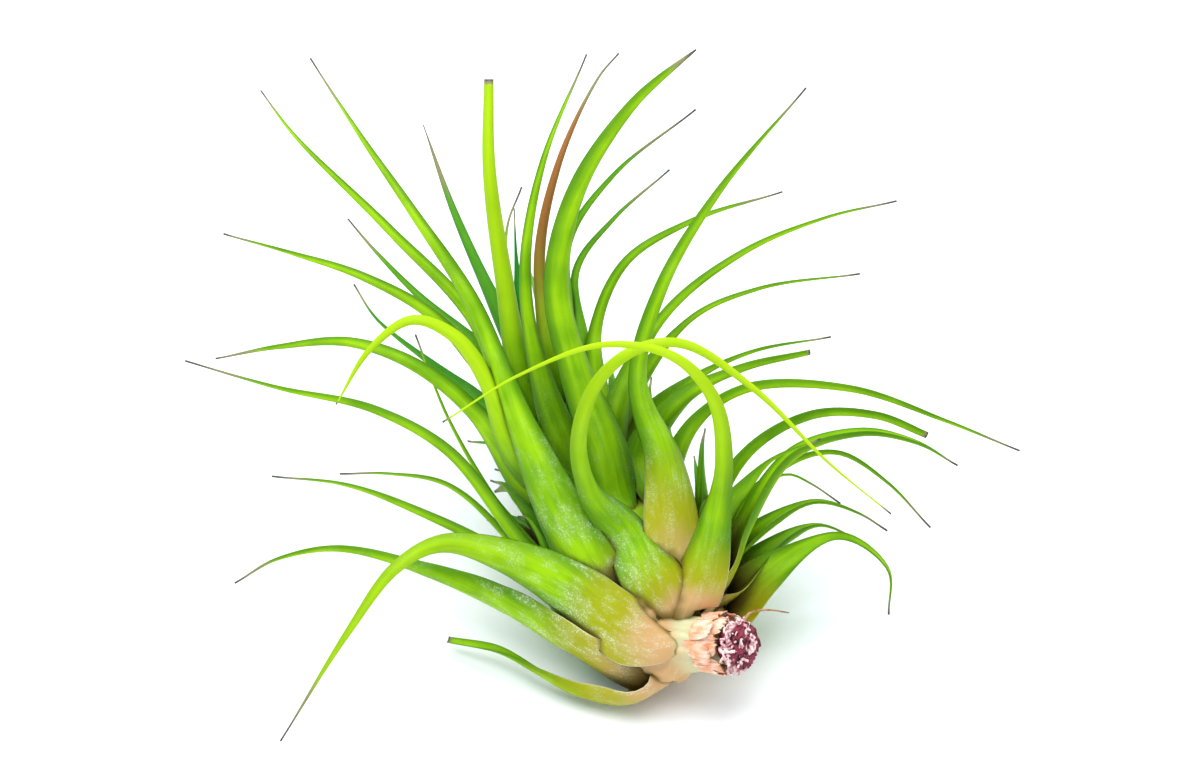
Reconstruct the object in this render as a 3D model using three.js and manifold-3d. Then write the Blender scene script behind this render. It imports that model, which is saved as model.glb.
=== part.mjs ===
import * as THREE from 'three';
import Module from 'manifold-3d';
import { mergeVertices } from 'three/addons/utils/BufferGeometryUtils.js';

// An air plant that lies on its side, as it was laid down after picking.
// Units are millimetres, +Z is up, and the surface that it lies on is z = 0.
// It is set out from a point below the neck, and moved to its origin at the end.

const wasm = await Module();
wasm.setup();

// The origin is the middle of the plant's outline, on the surface.
const ORIGIN = new THREE.Vector3(-0.65, 32.55, 0);

// The short stem runs from the neck, where the cut stub bends away, to the heart of the rosette.
const NECK = new THREE.Vector3(8, 4.5, 8.7);
const STEM_LENGTH = 46;
const STEM_RISE = THREE.MathUtils.degToRad(12);
const STEM_HEADING = THREE.MathUtils.degToRad(114);
// Core of the bulb under the leaf sheaths, as [distance from the neck, radius].
const BULB_PROFILE = [
  [-0.8, 3.6], [0.6, 4.8], [1.8, 7.8], [4, 10.2], [8, 11.4], [14, 10.8], [22, 8.2], [32, 4.8], [42, 2.4],
];
const BULB_SIDES = 14;
const FLOOR_CLEARANCE = 1.2;

// A sheath is widest on the bulb, and narrower on the younger leaves of the heart.
const SHEATH_WIDTH = 9.5;
const YOUNG_SHEATH_WIDTH = 4.2;
const YOUNG_RANK = 30;
const SHEATH_LENGTH = 16;
// Shares of the sheath length between which the sheath narrows to the blade.
const SHEATH_NARROWS = [0.3, 1.7];
const SHEATH_CURL = 1;
const BLADE_CURL = 1.5;
const BLADE_SWELL = 1.25;
const BLADE_TAPER = 0.8;
const THICKNESS_SHARE = 0.45;
const LEAF_THICKNESS = 1.2;
const HALF_THICKNESS = 0.58;
const TIP_WIDTH = 0.6;
const BLUNT_SHARE = 0.75;
const CROWN_PULL = 0.5;
const SECTION_SIDES = 6;
const SLIM_SECTION_SIDES = 4;
const SLIM_WIDTH = 2;
const STEP_LENGTH = 6.5;
const FEWEST_STEPS = 5;
const MOST_STEPS = 14;
// Roots of the leaves. Those that would root below the outer rank are rooted round the neck.
const ROOT_SETBACK = 10;
const ROOT_SINK = 1.6;
const OUTER_RANK = 4;
const ROOT_ON_NECK = 4;
const NECK_ROOT_SINK = 0.7;
const SHEATH_LIFT = 0.2;

// The leaves are measured in a view from 45 degrees above, looking along +Y. A route point is
// [to the right, up the view, height above the surface]. A route starts where its leaf leaves the bulb.
const VIEW_ANGLE = THREE.MathUtils.degToRad(45);
const MEASURED_LEAVES = [
  // Two long leaves in front, which rise and arch over to the right and to the left.
  {
    width: 3.6,
    taper: 1.2,
    route: [
      [7, 16.7, 19], [2.5, 24.5, 24], [-1.7, 29.3, 30], [-3.4, 36.5, 38.5], [-1.3, 44, 46],
      [3.5, 48.6, 50], [10, 49.8, 50], [20, 43.7, 42], [30, 34, 31], [39, 26.7, 20.5],
    ],
  },
  {
    width: 3.7,
    taper: 1.2,
    route: [
      [13, 16, 16.5], [14.3, 24, 26], [15.7, 34, 37], [14.3, 42.3, 46], [9, 48, 52.5],
      [0, 49.7, 54], [-11.7, 45.7, 48], [-22.3, 39.3, 38],
    ],
  },
  // Upper left, from the near side of the bulb to the far side.
  {
    width: 4.6,
    taper: 1,
    sheathLength: 30,
    route: [
      [-1, 17, 18.5], [-6.7, 27, 26], [-11.7, 38, 33], [-18.3, 55, 43], [-26.7, 68, 50.5],
      [-33.3, 77.7, 55], [-40.7, 89.3, 57],
    ],
  },
  {
    width: 2.6,
    route: [
      [-12.7, 40, 28], [-18.3, 53.3, 36], [-30, 65.7, 42],
      [-42.7, 78.3, 47], [-47.7, 85, 48],
    ],
  },
  { width: 1.5, route: [[-17.5, 49, 26], [-26.7, 57.3, 30], [-31.7, 62.5, 32.5], [-35.7, 67.3, 34]] },
  {
    width: 2.4,
    route: [
      [-15, 44, 27], [-24, 53.8, 33], [-33.3, 59, 35],
      [-43.3, 62.4, 33.5], [-53, 65.3, 29],
    ],
  },
  { width: 1.5, route: [[-15, 40, 19], [-24, 47, 20], [-31.7, 53.3, 20], [-35, 58.3, 20]] },
  {
    width: 3,
    route: [
      [-12, 32, 24], [-18.3, 40.5, 28], [-26, 46.7, 31.5],
      [-35, 50, 31], [-45, 49.5, 26], [-54, 48, 20],
    ],
  },
  {
    width: 3.6,
    route: [
      [-12.5, 35, 29], [-16.5, 45, 37], [-20.7, 50.7, 42],
      [-26.5, 53, 44], [-32, 49.3, 40.5], [-37, 41.7, 32],
    ],
  },
  { width: 1.9, route: [[-11, 47, 25], [-15, 55, 29], [-21, 68.3, 36], [-25.3, 80.3, 42]] },
  { width: 2.3, blunt: true, route: [[-11.5, 45, 28], [-14.2, 60, 39], [-15.9, 74, 51], [-16, 86.3, 60]] },
  { width: 1, route: [[-12.5, 52, 29], [-13.7, 65.7, 36], [-11.7, 71.7, 38]] },
  { width: 1.2, route: [[-11, 50, 27], [-12.3, 61, 33], [-12.7, 68.7, 38]] },
  // Top, from left to right.
  {
    width: 2.6,
    route: [
      [-6.5, 38, 26], [-10.3, 51, 36.5], [-11, 61.7, 45],
      [-8.5, 75, 55], [-2.7, 89.7, 63.5],
    ],
  },
  { width: 2, route: [[-7.5, 48, 31], [-9, 62, 41], [-6.3, 75, 50.5], [-1, 86.7, 56], [1.7, 90, 57]] },
  {
    width: 4.3,
    route: [
      [0, 36, 28], [-4, 47, 37.5], [-6.3, 58.3, 47],
      [-3.5, 71, 56.5], [3.5, 82.2, 63.3], [12.3, 90.3, 65.5],
    ],
  },
  { width: 1.5, route: [[-5, 52, 34], [-5, 64, 43.5], [1, 73, 49.5], [12.3, 82.3, 51]] },
  { width: 1.5, route: [[-3, 49, 32], [-4, 60, 39], [1, 67, 43], [8.7, 74, 45]] },
  { width: 2.2, route: [[-0.5, 40, 27], [-1.3, 51.7, 35], [2.7, 61, 42], [11.7, 66.7, 44], [24.3, 71, 40]] },
  {
    width: 3.6,
    sheathLength: 22,
    sheathWidth: 10.5,
    route: [[9.5, 25, 23], [8.5, 34, 29], [4.7, 45, 38], [7.7, 57.3, 48], [15, 70, 57], [27.3, 85, 64.5]],
  },
  { width: 2, route: [[2, 42, 30], [8.3, 54, 39], [19, 62.5, 44], [30, 67.2, 45], [40, 69.7, 41.5]] },
  { width: 1.5, route: [[4, 43, 27], [11.7, 53.3, 34], [21, 57.5, 35.8], [35, 59.7, 32]] },
  // Right, from the far side down to the surface.
  { width: 2.2, blunt: true, route: [[5, 34, 22], [11, 42.5, 29], [18.5, 46.4, 30], [28, 48.7, 28]] },
  { width: 1.6, route: [[4, 37, 21], [11.7, 44.7, 27.5], [20, 48.8, 28], [31, 51, 25.5]] },
  {
    width: 2.4,
    route: [
      [9, 28, 20], [12, 38.5, 29], [19, 43.6, 33.5],
      [33.3, 43.7, 31.5], [46.7, 39.3, 24], [57, 35.3, 16.5],
    ],
  },
  {
    width: 2.5,
    blunt: true,
    route: [[14.5, 25, 17.5], [19.3, 34.7, 25], [28, 40, 28], [37, 40, 26.5], [44, 37.3, 23]],
  },
  {
    width: 4,
    route: [
      [16.5, 17, 13], [19.5, 25, 19], [25.7, 34.7, 26.5],
      [35, 37.7, 28], [42.5, 36.4, 25.2], [48.3, 33.3, 20.5],
    ],
  },
  { width: 2, route: [[14.5, 22, 18], [22, 33.5, 27.5], [29.3, 37, 30.5]] },
  { width: 2, route: [[16, 24, 15], [25, 33.3, 21], [31.5, 35, 22.5], [38.5, 31, 17], [44.7, 24.7, 9.5]] },
  {
    width: 2.3,
    route: [
      [15.5, 18, 11], [21.5, 24.5, 16], [28.5, 28.2, 17.5],
      [34.7, 26.7, 15], [38.7, 24.3, 12],
    ],
  },
  { width: 1.2, route: [[15.5, 23, 11], [21, 30, 14], [25, 32, 14.5], [28.3, 30.7, 13.8], [32.3, 28, 12]] },
  { width: 2, route: [[16, 14, 8.5], [22, 21, 12.5], [29, 25, 13.8], [35, 23, 11]] },
  { width: 2.2, route: [[16, 12, 6.5], [21.7, 18, 12], [31.7, 23.5, 14.5], [38.7, 19, 8], [39, 12.7, 0]] },
  // Left, from the far side down to the surface.
  {
    width: 2.6,
    route: [
      [-6, 15, 13], [-13, 24, 18], [-21.7, 35, 23.5],
      [-31.7, 40.7, 25.5], [-45, 43.8, 22.5], [-58.3, 47.7, 17],
    ],
  },
  { width: 1.8, route: [[-7, 14, 10], [-15, 24.7, 12.5], [-22, 30.5, 11.5], [-30, 32, 7], [-37, 32, 0]] },
  {
    width: 2.4,
    route: [
      [-5, 13, 11], [-15, 21.3, 14], [-27, 27.3, 14.8],
      [-36, 30.5, 11.5], [-46.3, 31.7, 5],
    ],
  },
  {
    width: 4,
    taper: 1,
    sheathLength: 24,
    route: [
      [2, 8.5, 12.5], [-5, 15, 17], [-14, 20.7, 21], [-22.5, 22.4, 22], [-28.5, 19.3, 19.5],
      [-35, 10.7, 12.5], [-44.7, -4.7, 0],
    ],
  },
  {
    width: 3.2,
    sheathLength: 22,
    sheathWidth: 12,
    route: [
      [1, 5.4, 7.6], [-13, 13.5, 12], [-25, 18.8, 13],
      [-36.7, 21.7, 11.5], [-45, 20.4, 7.5], [-51.3, 17, 0],
    ],
  },
  {
    width: 2,
    blunt: true,
    sheathWidth: 11,
    roll: 0.7,
    route: [[7.5, 3, 3.6], [3, 0.9, 2.6], [-3, 1.9, 2.8], [-9, 4.8, 3.6], [-15, 7.9, 3.6], [-21.7, 9.2, 2]],
  },
  { width: 1.5, route: [[-8, 17, 11], [-15, 27.7, 16], [-21.7, 39.5, 20.5], [-26.3, 51.3, 26]] },
];

// Leaves of the far side and the underside, which the view hides, follow the spiral that leaves grow in.
const GOLDEN_ANGLE = THREE.MathUtils.degToRad(137.5);
const HIDDEN_LEAVES = 18;
const HIDDEN_START = 3;
const HIDDEN_SPACING = 1.5;
const HIDDEN_LENGTH = 33;
const HIDDEN_WIDTH = 2.8;
const HIDDEN_FAN = 1.45;
const HIDDEN_SPREAD = 0.25;
const HIDDEN_ARCH = 4;

// The cut stub bends away from the stem. Distances run from the neck along the stub.
const STUB_HEADING = new THREE.Vector3(0.86, -0.39, 0.33).normalize();
const NECK_START = -2;
const NECK_END = 9;
const NECK_RADIUS = 3.2;
const NECK_FLARE = 2.4;
const JOINT_GAP = 0.3;
const STUB_RADIUS = 3.2;
const STUB_END = 12.2;
const STUB_SIDES = 10;

// Clipped wiry roots on the cut end, and one longer dried root.
const ROOT_STUMPS = 44;
const STUMP_RADIUS = 0.34;
const STUMP_REACH = 2.5;
const STUMP_LEAN = 1.4;
const DRIED_ROOT = [[18.4, 10.8, 14.1], [19.5, 13.1, 15.9], [22, 13.6, 15.7], [25, 13.2, 14.8]];
const DRIED_ROOT_RADIUS = 0.32;

// Papery scales round the neck. The leaf sheaths keep clear of the room that they take.
const COLLAR_START = 5.8;
const COLLAR_END = 11.6;
const COLLAR_INSIDE = NECK_RADIUS + JOINT_GAP;
const COLLAR_ROOM = 6;
const COLLAR_SCALES = 8;
const SCALE_THICKNESS = 0.6;
const SCALE_TURN = 1.15;
const SCALE_NARROWS = 0.5;
const SCALE_FLARE = 0.3;

const GROUND_SIZE = 400;

// The same draw, from 0 to 1, comes back for the same seed.
function draw(seed) {
  const wave = Math.sin(seed * 12.9898 + 4.1414) * 43758.5453;
  return wave - Math.floor(wave);
}

const stemAxis = new THREE.Vector3(
  Math.cos(STEM_RISE) * Math.cos(STEM_HEADING),
  Math.cos(STEM_RISE) * Math.sin(STEM_HEADING),
  Math.sin(STEM_RISE),
);
const stemTop = new THREE.Vector3(0, 0, 1).addScaledVector(stemAxis, -stemAxis.z).normalize();
const stemSide = new THREE.Vector3().crossVectors(stemAxis, stemTop);
const stubTop = new THREE.Vector3(0, 0, 1).addScaledVector(STUB_HEADING, -STUB_HEADING.z).normalize();
const stubSide = new THREE.Vector3().crossVectors(STUB_HEADING, stubTop);

function pointOnStem(distance) {
  return NECK.clone().addScaledVector(stemAxis, distance);
}

function pointOnStub(distance) {
  return NECK.clone().addScaledVector(STUB_HEADING, distance);
}

// Distance along the stem of the stem's nearest point.
function rankOnStem(place) {
  return place.clone().sub(NECK).dot(stemAxis);
}

function outFromStem(turn) {
  return stemTop.clone().multiplyScalar(Math.cos(turn)).addScaledVector(stemSide, Math.sin(turn));
}

function outFromStub(turn) {
  return stubTop.clone().multiplyScalar(Math.cos(turn)).addScaledVector(stubSide, Math.sin(turn));
}

function fromView([right, up, height]) {
  const away = (up - height * Math.cos(VIEW_ANGLE)) / Math.sin(VIEW_ANGLE);
  return new THREE.Vector3(right, away, height);
}

function toSolid(geometry) {
  const bare = geometry.clone();
  bare.deleteAttribute('normal');
  bare.deleteAttribute('uv');
  const merged = mergeVertices(bare, 1e-4);
  return new wasm.Manifold(new wasm.Mesh({
    numProp: 3,
    vertProperties: new Float32Array(merged.attributes.position.array),
    triVerts: new Uint32Array(merged.index.array),
  }));
}

function toGeometry(solid) {
  const mesh = solid.getMesh();
  const geometry = new THREE.BufferGeometry();
  geometry.setAttribute('position', new THREE.BufferAttribute(mesh.vertProperties, 3));
  geometry.setIndex(new THREE.BufferAttribute(mesh.triVerts, 1));
  geometry.computeVertexNormals();
  return geometry;
}

// Joins the solids in pairs, then the pairs, and so on.
function joinAll(solids) {
  let level = solids;
  while (level.length > 1) {
    const next = [];
    for (let i = 0; i < level.length; i += 2) {
      next.push(i + 1 < level.length ? level[i].add(level[i + 1]) : level[i]);
    }
    level = next;
  }
  return level[0];
}

// Closely packed sheaths can seal a pocket among them. Its shell points inwards, and is left out.
function fillPockets(solid) {
  return joinAll(solid.decompose().filter((shell) => shell.volume() > 0));
}

function bulbRadius(along) {
  let last = BULB_PROFILE[0];
  for (const next of BULB_PROFILE) {
    if (along <= next[0]) {
      const span = Math.max(next[0] - last[0], 1e-6);
      const share = THREE.MathUtils.clamp((along - last[0]) / span, 0, 1);
      return THREE.MathUtils.lerp(last[1], next[1], share);
    }
    last = next;
  }
  return last[1];
}

function pointOnBulb(along, out, lift) {
  return pointOnStem(along).addScaledVector(out, bulbRadius(along) + lift);
}

// Bends a drum along a curve. The section function moves each rim point off the curve.
function bendDrum(curve, sides, steps, moveOff) {
  const drum = new THREE.CylinderGeometry(1, 1, 1, sides, steps);
  const position = drum.attributes.position;
  for (let i = 0; i < position.count; i += 1) {
    const along = position.getY(i) + 0.5;
    const x = position.getX(i);
    const z = position.getZ(i);
    const rim = Math.hypot(x, z) > 0.5 ? 1 : 0;
    const turn = Math.atan2(x, z);
    const place = curve.getPointAt(along);
    moveOff(place, along, rim * Math.sin(turn), rim * Math.cos(turn));
    position.setXYZ(i, place.x, place.y, place.z);
  }
  return toSolid(drum);
}

// A sheath clasps the bulb from its root to the first point of the route. The outer leaves are
// rooted round the neck, and the younger ones further up the stem, under older sheaths.
function addSheath(route) {
  const along = rankOnStem(route[0]);
  const out = route[0].clone().sub(pointOnStem(along)).normalize();
  const rootAlong = along - ROOT_SETBACK;
  if (rootAlong > OUTER_RANK) {
    const flank = pointOnBulb(THREE.MathUtils.lerp(rootAlong, along, 0.45), out, SHEATH_LIFT);
    return [pointOnBulb(rootAlong, out, -ROOT_SINK), flank, ...route];
  }
  const outFromNeck = out.clone().addScaledVector(STUB_HEADING, -out.dot(STUB_HEADING)).normalize();
  const root = pointOnStub(ROOT_ON_NECK).addScaledVector(outFromNeck, NECK_RADIUS - NECK_ROOT_SINK);
  const shares = along > OUTER_RANK ? [0.3, 0.65] : [];
  const flanks = shares.map((share) => pointOnBulb(share * along, out, SHEATH_LIFT));
  return [root, ...flanks, ...route];
}

function hiddenRoute(index) {
  const across = 2 * ((index * GOLDEN_ANGLE) / (2 * Math.PI) % 1) - 1;
  const out = outFromStem(Math.PI + HIDDEN_FAN * across);
  const start = HIDDEN_START + index * HIDDEN_SPACING;
  const length = HIDDEN_LENGTH * (0.85 + 0.3 * draw(index)) * (1 - 0.55 * Math.abs(across));
  const spread = HIDDEN_SPREAD + 0.2 * draw(index + 50);
  const points = [];
  for (const step of [0, 0.35, 0.7, 1]) {
    const point = pointOnStem(start + length * step * Math.cos(spread));
    point.addScaledVector(out, bulbRadius(start) + 0.4 + length * Math.sin(spread) * step ** 1.4);
    point.z = Math.max(point.z, FLOOR_CLEARANCE) + HIDDEN_ARCH * Math.sin(Math.PI * step);
    points.push(point);
  }
  return points;
}

// One leaf. Its section is a curled lens, wide and clasping at the sheath, channelled along
// the blade and nearly round at the tip. The channel turns towards the outside of a strong arch.
function makeLeaf(leaf) {
  const { route, width, blunt = false, taper = BLADE_TAPER } = leaf;
  const { sheathLength = SHEATH_LENGTH, sheathWidth, roll = 0 } = leaf;
  const curve = new THREE.CatmullRomCurve3(addSheath(route), false, 'centripetal');
  const length = curve.getLength();
  const steps = Math.round(THREE.MathUtils.clamp(length / STEP_LENGTH, FEWEST_STEPS, MOST_STEPS));
  const frames = curve.computeFrenetFrames(steps, false);
  const root = curve.getPointAt(0);
  const rank = rankOnStem(root);
  const inward = pointOnStem(rank).sub(root).normalize().add(stemAxis);
  const offset = Math.atan2(inward.dot(frames.binormals[0]), inward.dot(frames.normals[0])) + roll;
  const crown = curve.getPointAt(0.6).sub(root.clone().add(curve.getPointAt(1)).multiplyScalar(0.5));
  const crownPull = CROWN_PULL * THREE.MathUtils.clamp(crown.length() / (0.15 * length), 0, 1);
  crown.normalize();
  const youth = THREE.MathUtils.smoothstep(rank, 2, YOUNG_RANK);
  const broad = sheathWidth ?? THREE.MathUtils.lerp(SHEATH_WIDTH, YOUNG_SHEATH_WIDTH, youth);
  const narrowFrom = SHEATH_NARROWS[0] * sheathLength;
  const narrowTo = SHEATH_NARROWS[1] * sheathLength;
  const tip = blunt ? BLUNT_SHARE * width : TIP_WIDTH;
  const sides = width < SLIM_WIDTH ? SLIM_SECTION_SIDES : SECTION_SIDES;

  return bendDrum(curve, sides, steps, (place, along, across, depth) => {
    const step = Math.round(along * steps);
    const tangent = frames.tangents[step];
    const face = frames.normals[step].clone().multiplyScalar(Math.cos(offset));
    face.addScaledVector(frames.binormals[step], Math.sin(offset));
    face.lerp(crown, crownPull * THREE.MathUtils.smoothstep(along, 0.4, 0.9));
    face.addScaledVector(tangent, -face.dot(tangent)).normalize();
    const side = new THREE.Vector3().crossVectors(face, tangent);

    const fromAxis = place.distanceTo(pointOnStem(rankOnStem(place)));
    const sheath = 1 - THREE.MathUtils.smoothstep(along * length, narrowFrom, narrowTo);
    const blade = Math.max(tip, blunt ? width : BLADE_SWELL * width * (1 - along) ** taper);
    const clasped = Math.min(Math.max(broad, blade), 1.2 * fromAxis + 1);
    const wide = THREE.MathUtils.lerp(blade, clasped, sheath);
    const thick = THREE.MathUtils.clamp(THICKNESS_SHARE * wide, TIP_WIDTH, LEAF_THICKNESS);
    const curl = THREE.MathUtils.lerp(BLADE_CURL, SHEATH_CURL, sheath);
    const radius = wide / curl;
    const bend = across * curl * 0.5;
    place.addScaledVector(side, radius * Math.sin(bend));
    place.addScaledVector(face, radius * (1 - Math.cos(bend)) - depth * thick * HALF_THICKNESS);
  });
}

function makeBulb() {
  const profile = [new THREE.Vector2(0, BULB_PROFILE[0][0])];
  for (const [along, radius] of BULB_PROFILE) {
    profile.push(new THREE.Vector2(radius, along));
  }
  profile.push(new THREE.Vector2(0, STEM_LENGTH));
  const bulb = new THREE.LatheGeometry(profile, BULB_SIDES);
  const position = bulb.attributes.position;
  for (let i = 0; i < position.count; i += 1) {
    const place = pointOnStem(position.getY(i));
    place.addScaledVector(stemSide, position.getX(i)).addScaledVector(stemTop, position.getZ(i));
    position.setXYZ(i, place.x, place.y, place.z);
  }
  return toSolid(bulb);
}

// A round rod between two distances along the stub, with a radius for each end.
function stubRod(start, end, startRadius, endRadius) {
  const line = new THREE.LineCurve3(pointOnStub(start), pointOnStub(end));
  return bendDrum(line, STUB_SIDES, 2, (place, along, across, depth) => {
    const radius = THREE.MathUtils.lerp(startRadius, endRadius, along);
    place.addScaledVector(stubSide, radius * across);
    place.addScaledVector(stubTop, radius * depth);
  });
}

// A thin three-sided root along a curve, thinning towards its tip.
function wireRoot(points, radius, steps) {
  const curve = new THREE.CatmullRomCurve3(points, false, 'centripetal');
  const frames = curve.computeFrenetFrames(steps, false);
  return bendDrum(curve, 3, steps, (place, along, across, depth) => {
    const step = Math.round(along * steps);
    const size = radius * (1 - 0.35 * along);
    place.addScaledVector(frames.binormals[step], size * across);
    place.addScaledVector(frames.normals[step], size * depth);
  });
}

// Everything below the surface, which the leaves that touch it are pressed flat against.
function makeGround() {
  const ground = new THREE.BoxGeometry(GROUND_SIZE, GROUND_SIZE, GROUND_SIZE);
  ground.translate(0, 0, -GROUND_SIZE / 2);
  return toSolid(ground);
}

function makeRosette() {
  const leaves = MEASURED_LEAVES.map((leaf) => makeLeaf({ ...leaf, route: leaf.route.map(fromView) }));
  for (let index = 0; index < HIDDEN_LEAVES; index += 1) {
    leaves.push(makeLeaf({ route: hiddenRoute(index), width: HIDDEN_WIDTH }));
  }
  const collarRoom = stubRod(COLLAR_START - JOINT_GAP, 1.5 * STUB_END, COLLAR_ROOM, COLLAR_ROOM);
  const neck = stubRod(NECK_START, COLLAR_START - JOINT_GAP, NECK_RADIUS + NECK_FLARE, NECK_RADIUS);
  const neckEnd = stubRod(0, NECK_END, NECK_RADIUS, NECK_RADIUS);
  const crown = joinAll([makeBulb(), ...leaves]).subtract(collarRoom);
  return fillPockets(joinAll([crown, neck, neckEnd]).subtract(makeGround()));
}

// A clipped root stands out of the cut end, leaning outwards towards the rim.
function makeStump(index) {
  const share = Math.sqrt((index + 0.5) / ROOT_STUMPS);
  const out = outFromStub(index * GOLDEN_ANGLE);
  const foot = pointOnStub(STUB_END - 0.2 - 0.3 * draw(index));
  foot.addScaledVector(out, 0.9 * share * STUB_RADIUS);
  const lean = STUB_HEADING.clone().addScaledVector(out, share * STUMP_LEAN + 0.6 * draw(index + 20));
  lean.addScaledVector(stubSide, draw(index + 90) - 0.5).normalize();
  const reach = STUMP_REACH * (0.8 + 0.4 * draw(index + 40));
  const knee = foot.clone().addScaledVector(lean, 0.5 * reach);
  knee.addScaledVector(stubTop, 0.3 * (draw(index + 70) - 0.5));
  return wireRoot([foot, knee, foot.clone().addScaledVector(lean, reach)], STUMP_RADIUS, 2);
}

function makeStub() {
  const pieces = [stubRod(NECK_END + JOINT_GAP, STUB_END, STUB_RADIUS, 0.9 * STUB_RADIUS)];
  for (let index = 0; index < ROOT_STUMPS; index += 1) {
    pieces.push(makeStump(index));
  }
  pieces.push(wireRoot([pointOnStub(STUB_END - 1), ...DRIED_ROOT.map(fromView)], DRIED_ROOT_RADIUS, 6));
  return joinAll(pieces);
}

// A papery scale: a flat plate bent round the neck, with its free end narrowed and flared.
function makeScale(index) {
  const middle = (index / COLLAR_SCALES) * 2 * Math.PI;
  const end = COLLAR_END - 2 * draw(index + 7);
  const lift = 0.1 + 0.2 * (index % 2);
  const plate = new THREE.BoxGeometry(1, 1, 1, 3, 1, 2);
  const position = plate.attributes.position;
  for (let i = 0; i < position.count; i += 1) {
    const along = position.getZ(i) + 0.5;
    const turn = middle - position.getX(i) * SCALE_TURN * (1 - SCALE_NARROWS * along ** 2);
    const flare = SCALE_FLARE * along ** 2 + 0.35 * draw(index + 31) * along;
    const place = pointOnStub(THREE.MathUtils.lerp(COLLAR_START + 0.4, end, along));
    const depth = (position.getY(i) + 0.5) * SCALE_THICKNESS;
    place.addScaledVector(outFromStub(turn), COLLAR_INSIDE + lift + flare + depth);
    position.setXYZ(i, place.x, place.y, place.z);
  }
  return toSolid(plate);
}

function makeCollar() {
  const ringRadius = COLLAR_INSIDE + SCALE_THICKNESS;
  const pieces = [stubRod(COLLAR_START, COLLAR_START + 3, ringRadius + JOINT_GAP, ringRadius)];
  for (let index = 0; index < COLLAR_SCALES; index += 1) {
    pieces.push(makeScale(index));
  }
  const inside = stubRod(COLLAR_START - 1, COLLAR_END + 3, COLLAR_INSIDE, COLLAR_INSIDE);
  return joinAll(pieces).subtract(inside);
}

function nodeMesh(name, solid, color, roughness) {
  const material = new THREE.MeshStandardMaterial({ color, roughness, metalness: 0 });
  const mesh = new THREE.Mesh(toGeometry(solid), material);
  mesh.name = name;
  return mesh;
}

const part = new THREE.Group();
part.add(nodeMesh('leaf_rosette', makeRosette(), 0x86c20a, 0.55));
part.add(nodeMesh('dry_collar', makeCollar(), 0xf2c4a0, 0.85));
part.add(nodeMesh('stem_stub', makeStub(), 0x6a2a38, 0.9));
part.position.copy(ORIGIN).negate();

export default part;
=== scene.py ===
import math

import bmesh
import bpy
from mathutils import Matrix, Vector, noise
from mathutils.bvhtree import BVHTree


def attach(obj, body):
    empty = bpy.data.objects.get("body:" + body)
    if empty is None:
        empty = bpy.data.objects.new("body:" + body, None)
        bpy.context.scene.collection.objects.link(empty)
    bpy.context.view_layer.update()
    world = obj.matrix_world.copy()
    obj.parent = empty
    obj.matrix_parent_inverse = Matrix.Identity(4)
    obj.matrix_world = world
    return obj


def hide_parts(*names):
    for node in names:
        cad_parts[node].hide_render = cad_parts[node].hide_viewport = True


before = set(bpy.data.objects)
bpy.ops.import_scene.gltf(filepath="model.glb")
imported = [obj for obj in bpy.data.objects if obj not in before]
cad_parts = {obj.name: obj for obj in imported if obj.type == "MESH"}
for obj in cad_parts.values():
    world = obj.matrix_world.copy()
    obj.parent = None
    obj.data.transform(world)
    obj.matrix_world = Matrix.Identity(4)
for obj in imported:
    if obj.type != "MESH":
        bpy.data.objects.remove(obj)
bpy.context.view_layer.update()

# An air plant that lies on its side: narrow arching leaves on a bulb of overlapping sheaths,
# a cream neck, a papery collar and a cut stub with a tuft of wiry roots.
# Lengths are in metres. Routes, lists of radii, distances along the core, and the lengths and widths
# that a dict holds are in millimetres.
MM = 0.001

# The frame's origin, from the point that the plant's places are measured from.
ORIGIN = Vector((-0.65, 32.55, 0)) * MM

# The short stem runs from the neck, where the cut stub bends away, to the heart of the rosette.
NECK = Vector((8, 4.5, 8.7)) * MM - ORIGIN
STEM_RISE = math.radians(12)
STEM_HEADING = math.radians(114)
# The bulb that the sheaths clasp, as (distance from the neck, radius) in millimetres.
BULB_PROFILE = [
    (-0.8, 3.6), (0.6, 4.8), (1.8, 7.8), (4, 10.2), (8, 11.4), (14, 10.8), (22, 8.2), (32, 4.8),
    (42, 2.4),
]
# The hidden leaves keep clear of the surface, and no leaf goes lower than one that touches it.
FLOOR_CLEARANCE = 1.2 * MM
FLOOR_TOUCH = 0.05 * MM

# A sheath is widest on the bulb, and narrower on the younger leaves of the heart.
SHEATH_WIDTH = 9.5 * MM
YOUNG_SHEATH_WIDTH = 4.2 * MM
OLD_RANK = 2 * MM
YOUNG_RANK = 30 * MM
SHEATH_LENGTH = 16 * MM
# Shares of the sheath length between which the sheath narrows to the blade.
SHEATH_NARROWS = (0.3, 1.7)
# A blade is curled into a channel. A sheath is curled only as far as it hugs the bulb or the neck.
BLADE_CURL = 2.4
LEAST_CURL = 0.7
MOST_CURL = 2.2
CLASP_SHARE = 2.0
# Distances from its root over which a sheath comes to hug the bulb. A clasped one hugs it all along.
# Both let go between two shares of the sheath length.
HUG_STARTS = (3 * MM, 9 * MM)
CLASPED_STARTS = (-1 * MM, 0)
HUG_ENDS = (0.3, 1.2)
# Width of a leaf from margin to margin, as a share of its width laid flat.
CHORD_SHARE = 0.93
# A blade swells past its stated width near the sheath, and narrows from there to its tip.
BLADE_SWELL = 1.25
BLUNT_SWELL = 1.4
BLADE_TAPER = 0.8
BLUNT_SHARE = 0.5
TIP_WIDTH = 0.18 * MM
# On an arch, the channel of the outer half turns to the outside, most where the arch is high. Its top,
# its rise and the span of the turn are shares of the leaf's length.
CROWN_PULL = 0.5
ARCH_TOP = 0.6
HIGH_ARCH = 0.15
CROWN_SPAN = (0.4, 0.9)
LEAF_THICKNESS = 1.1 * MM
THINNEST_LEAF = 0.3 * MM
THICKNESS_SHARE = 0.42
SHEATH_THICKNESS = 0.6 * MM
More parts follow.
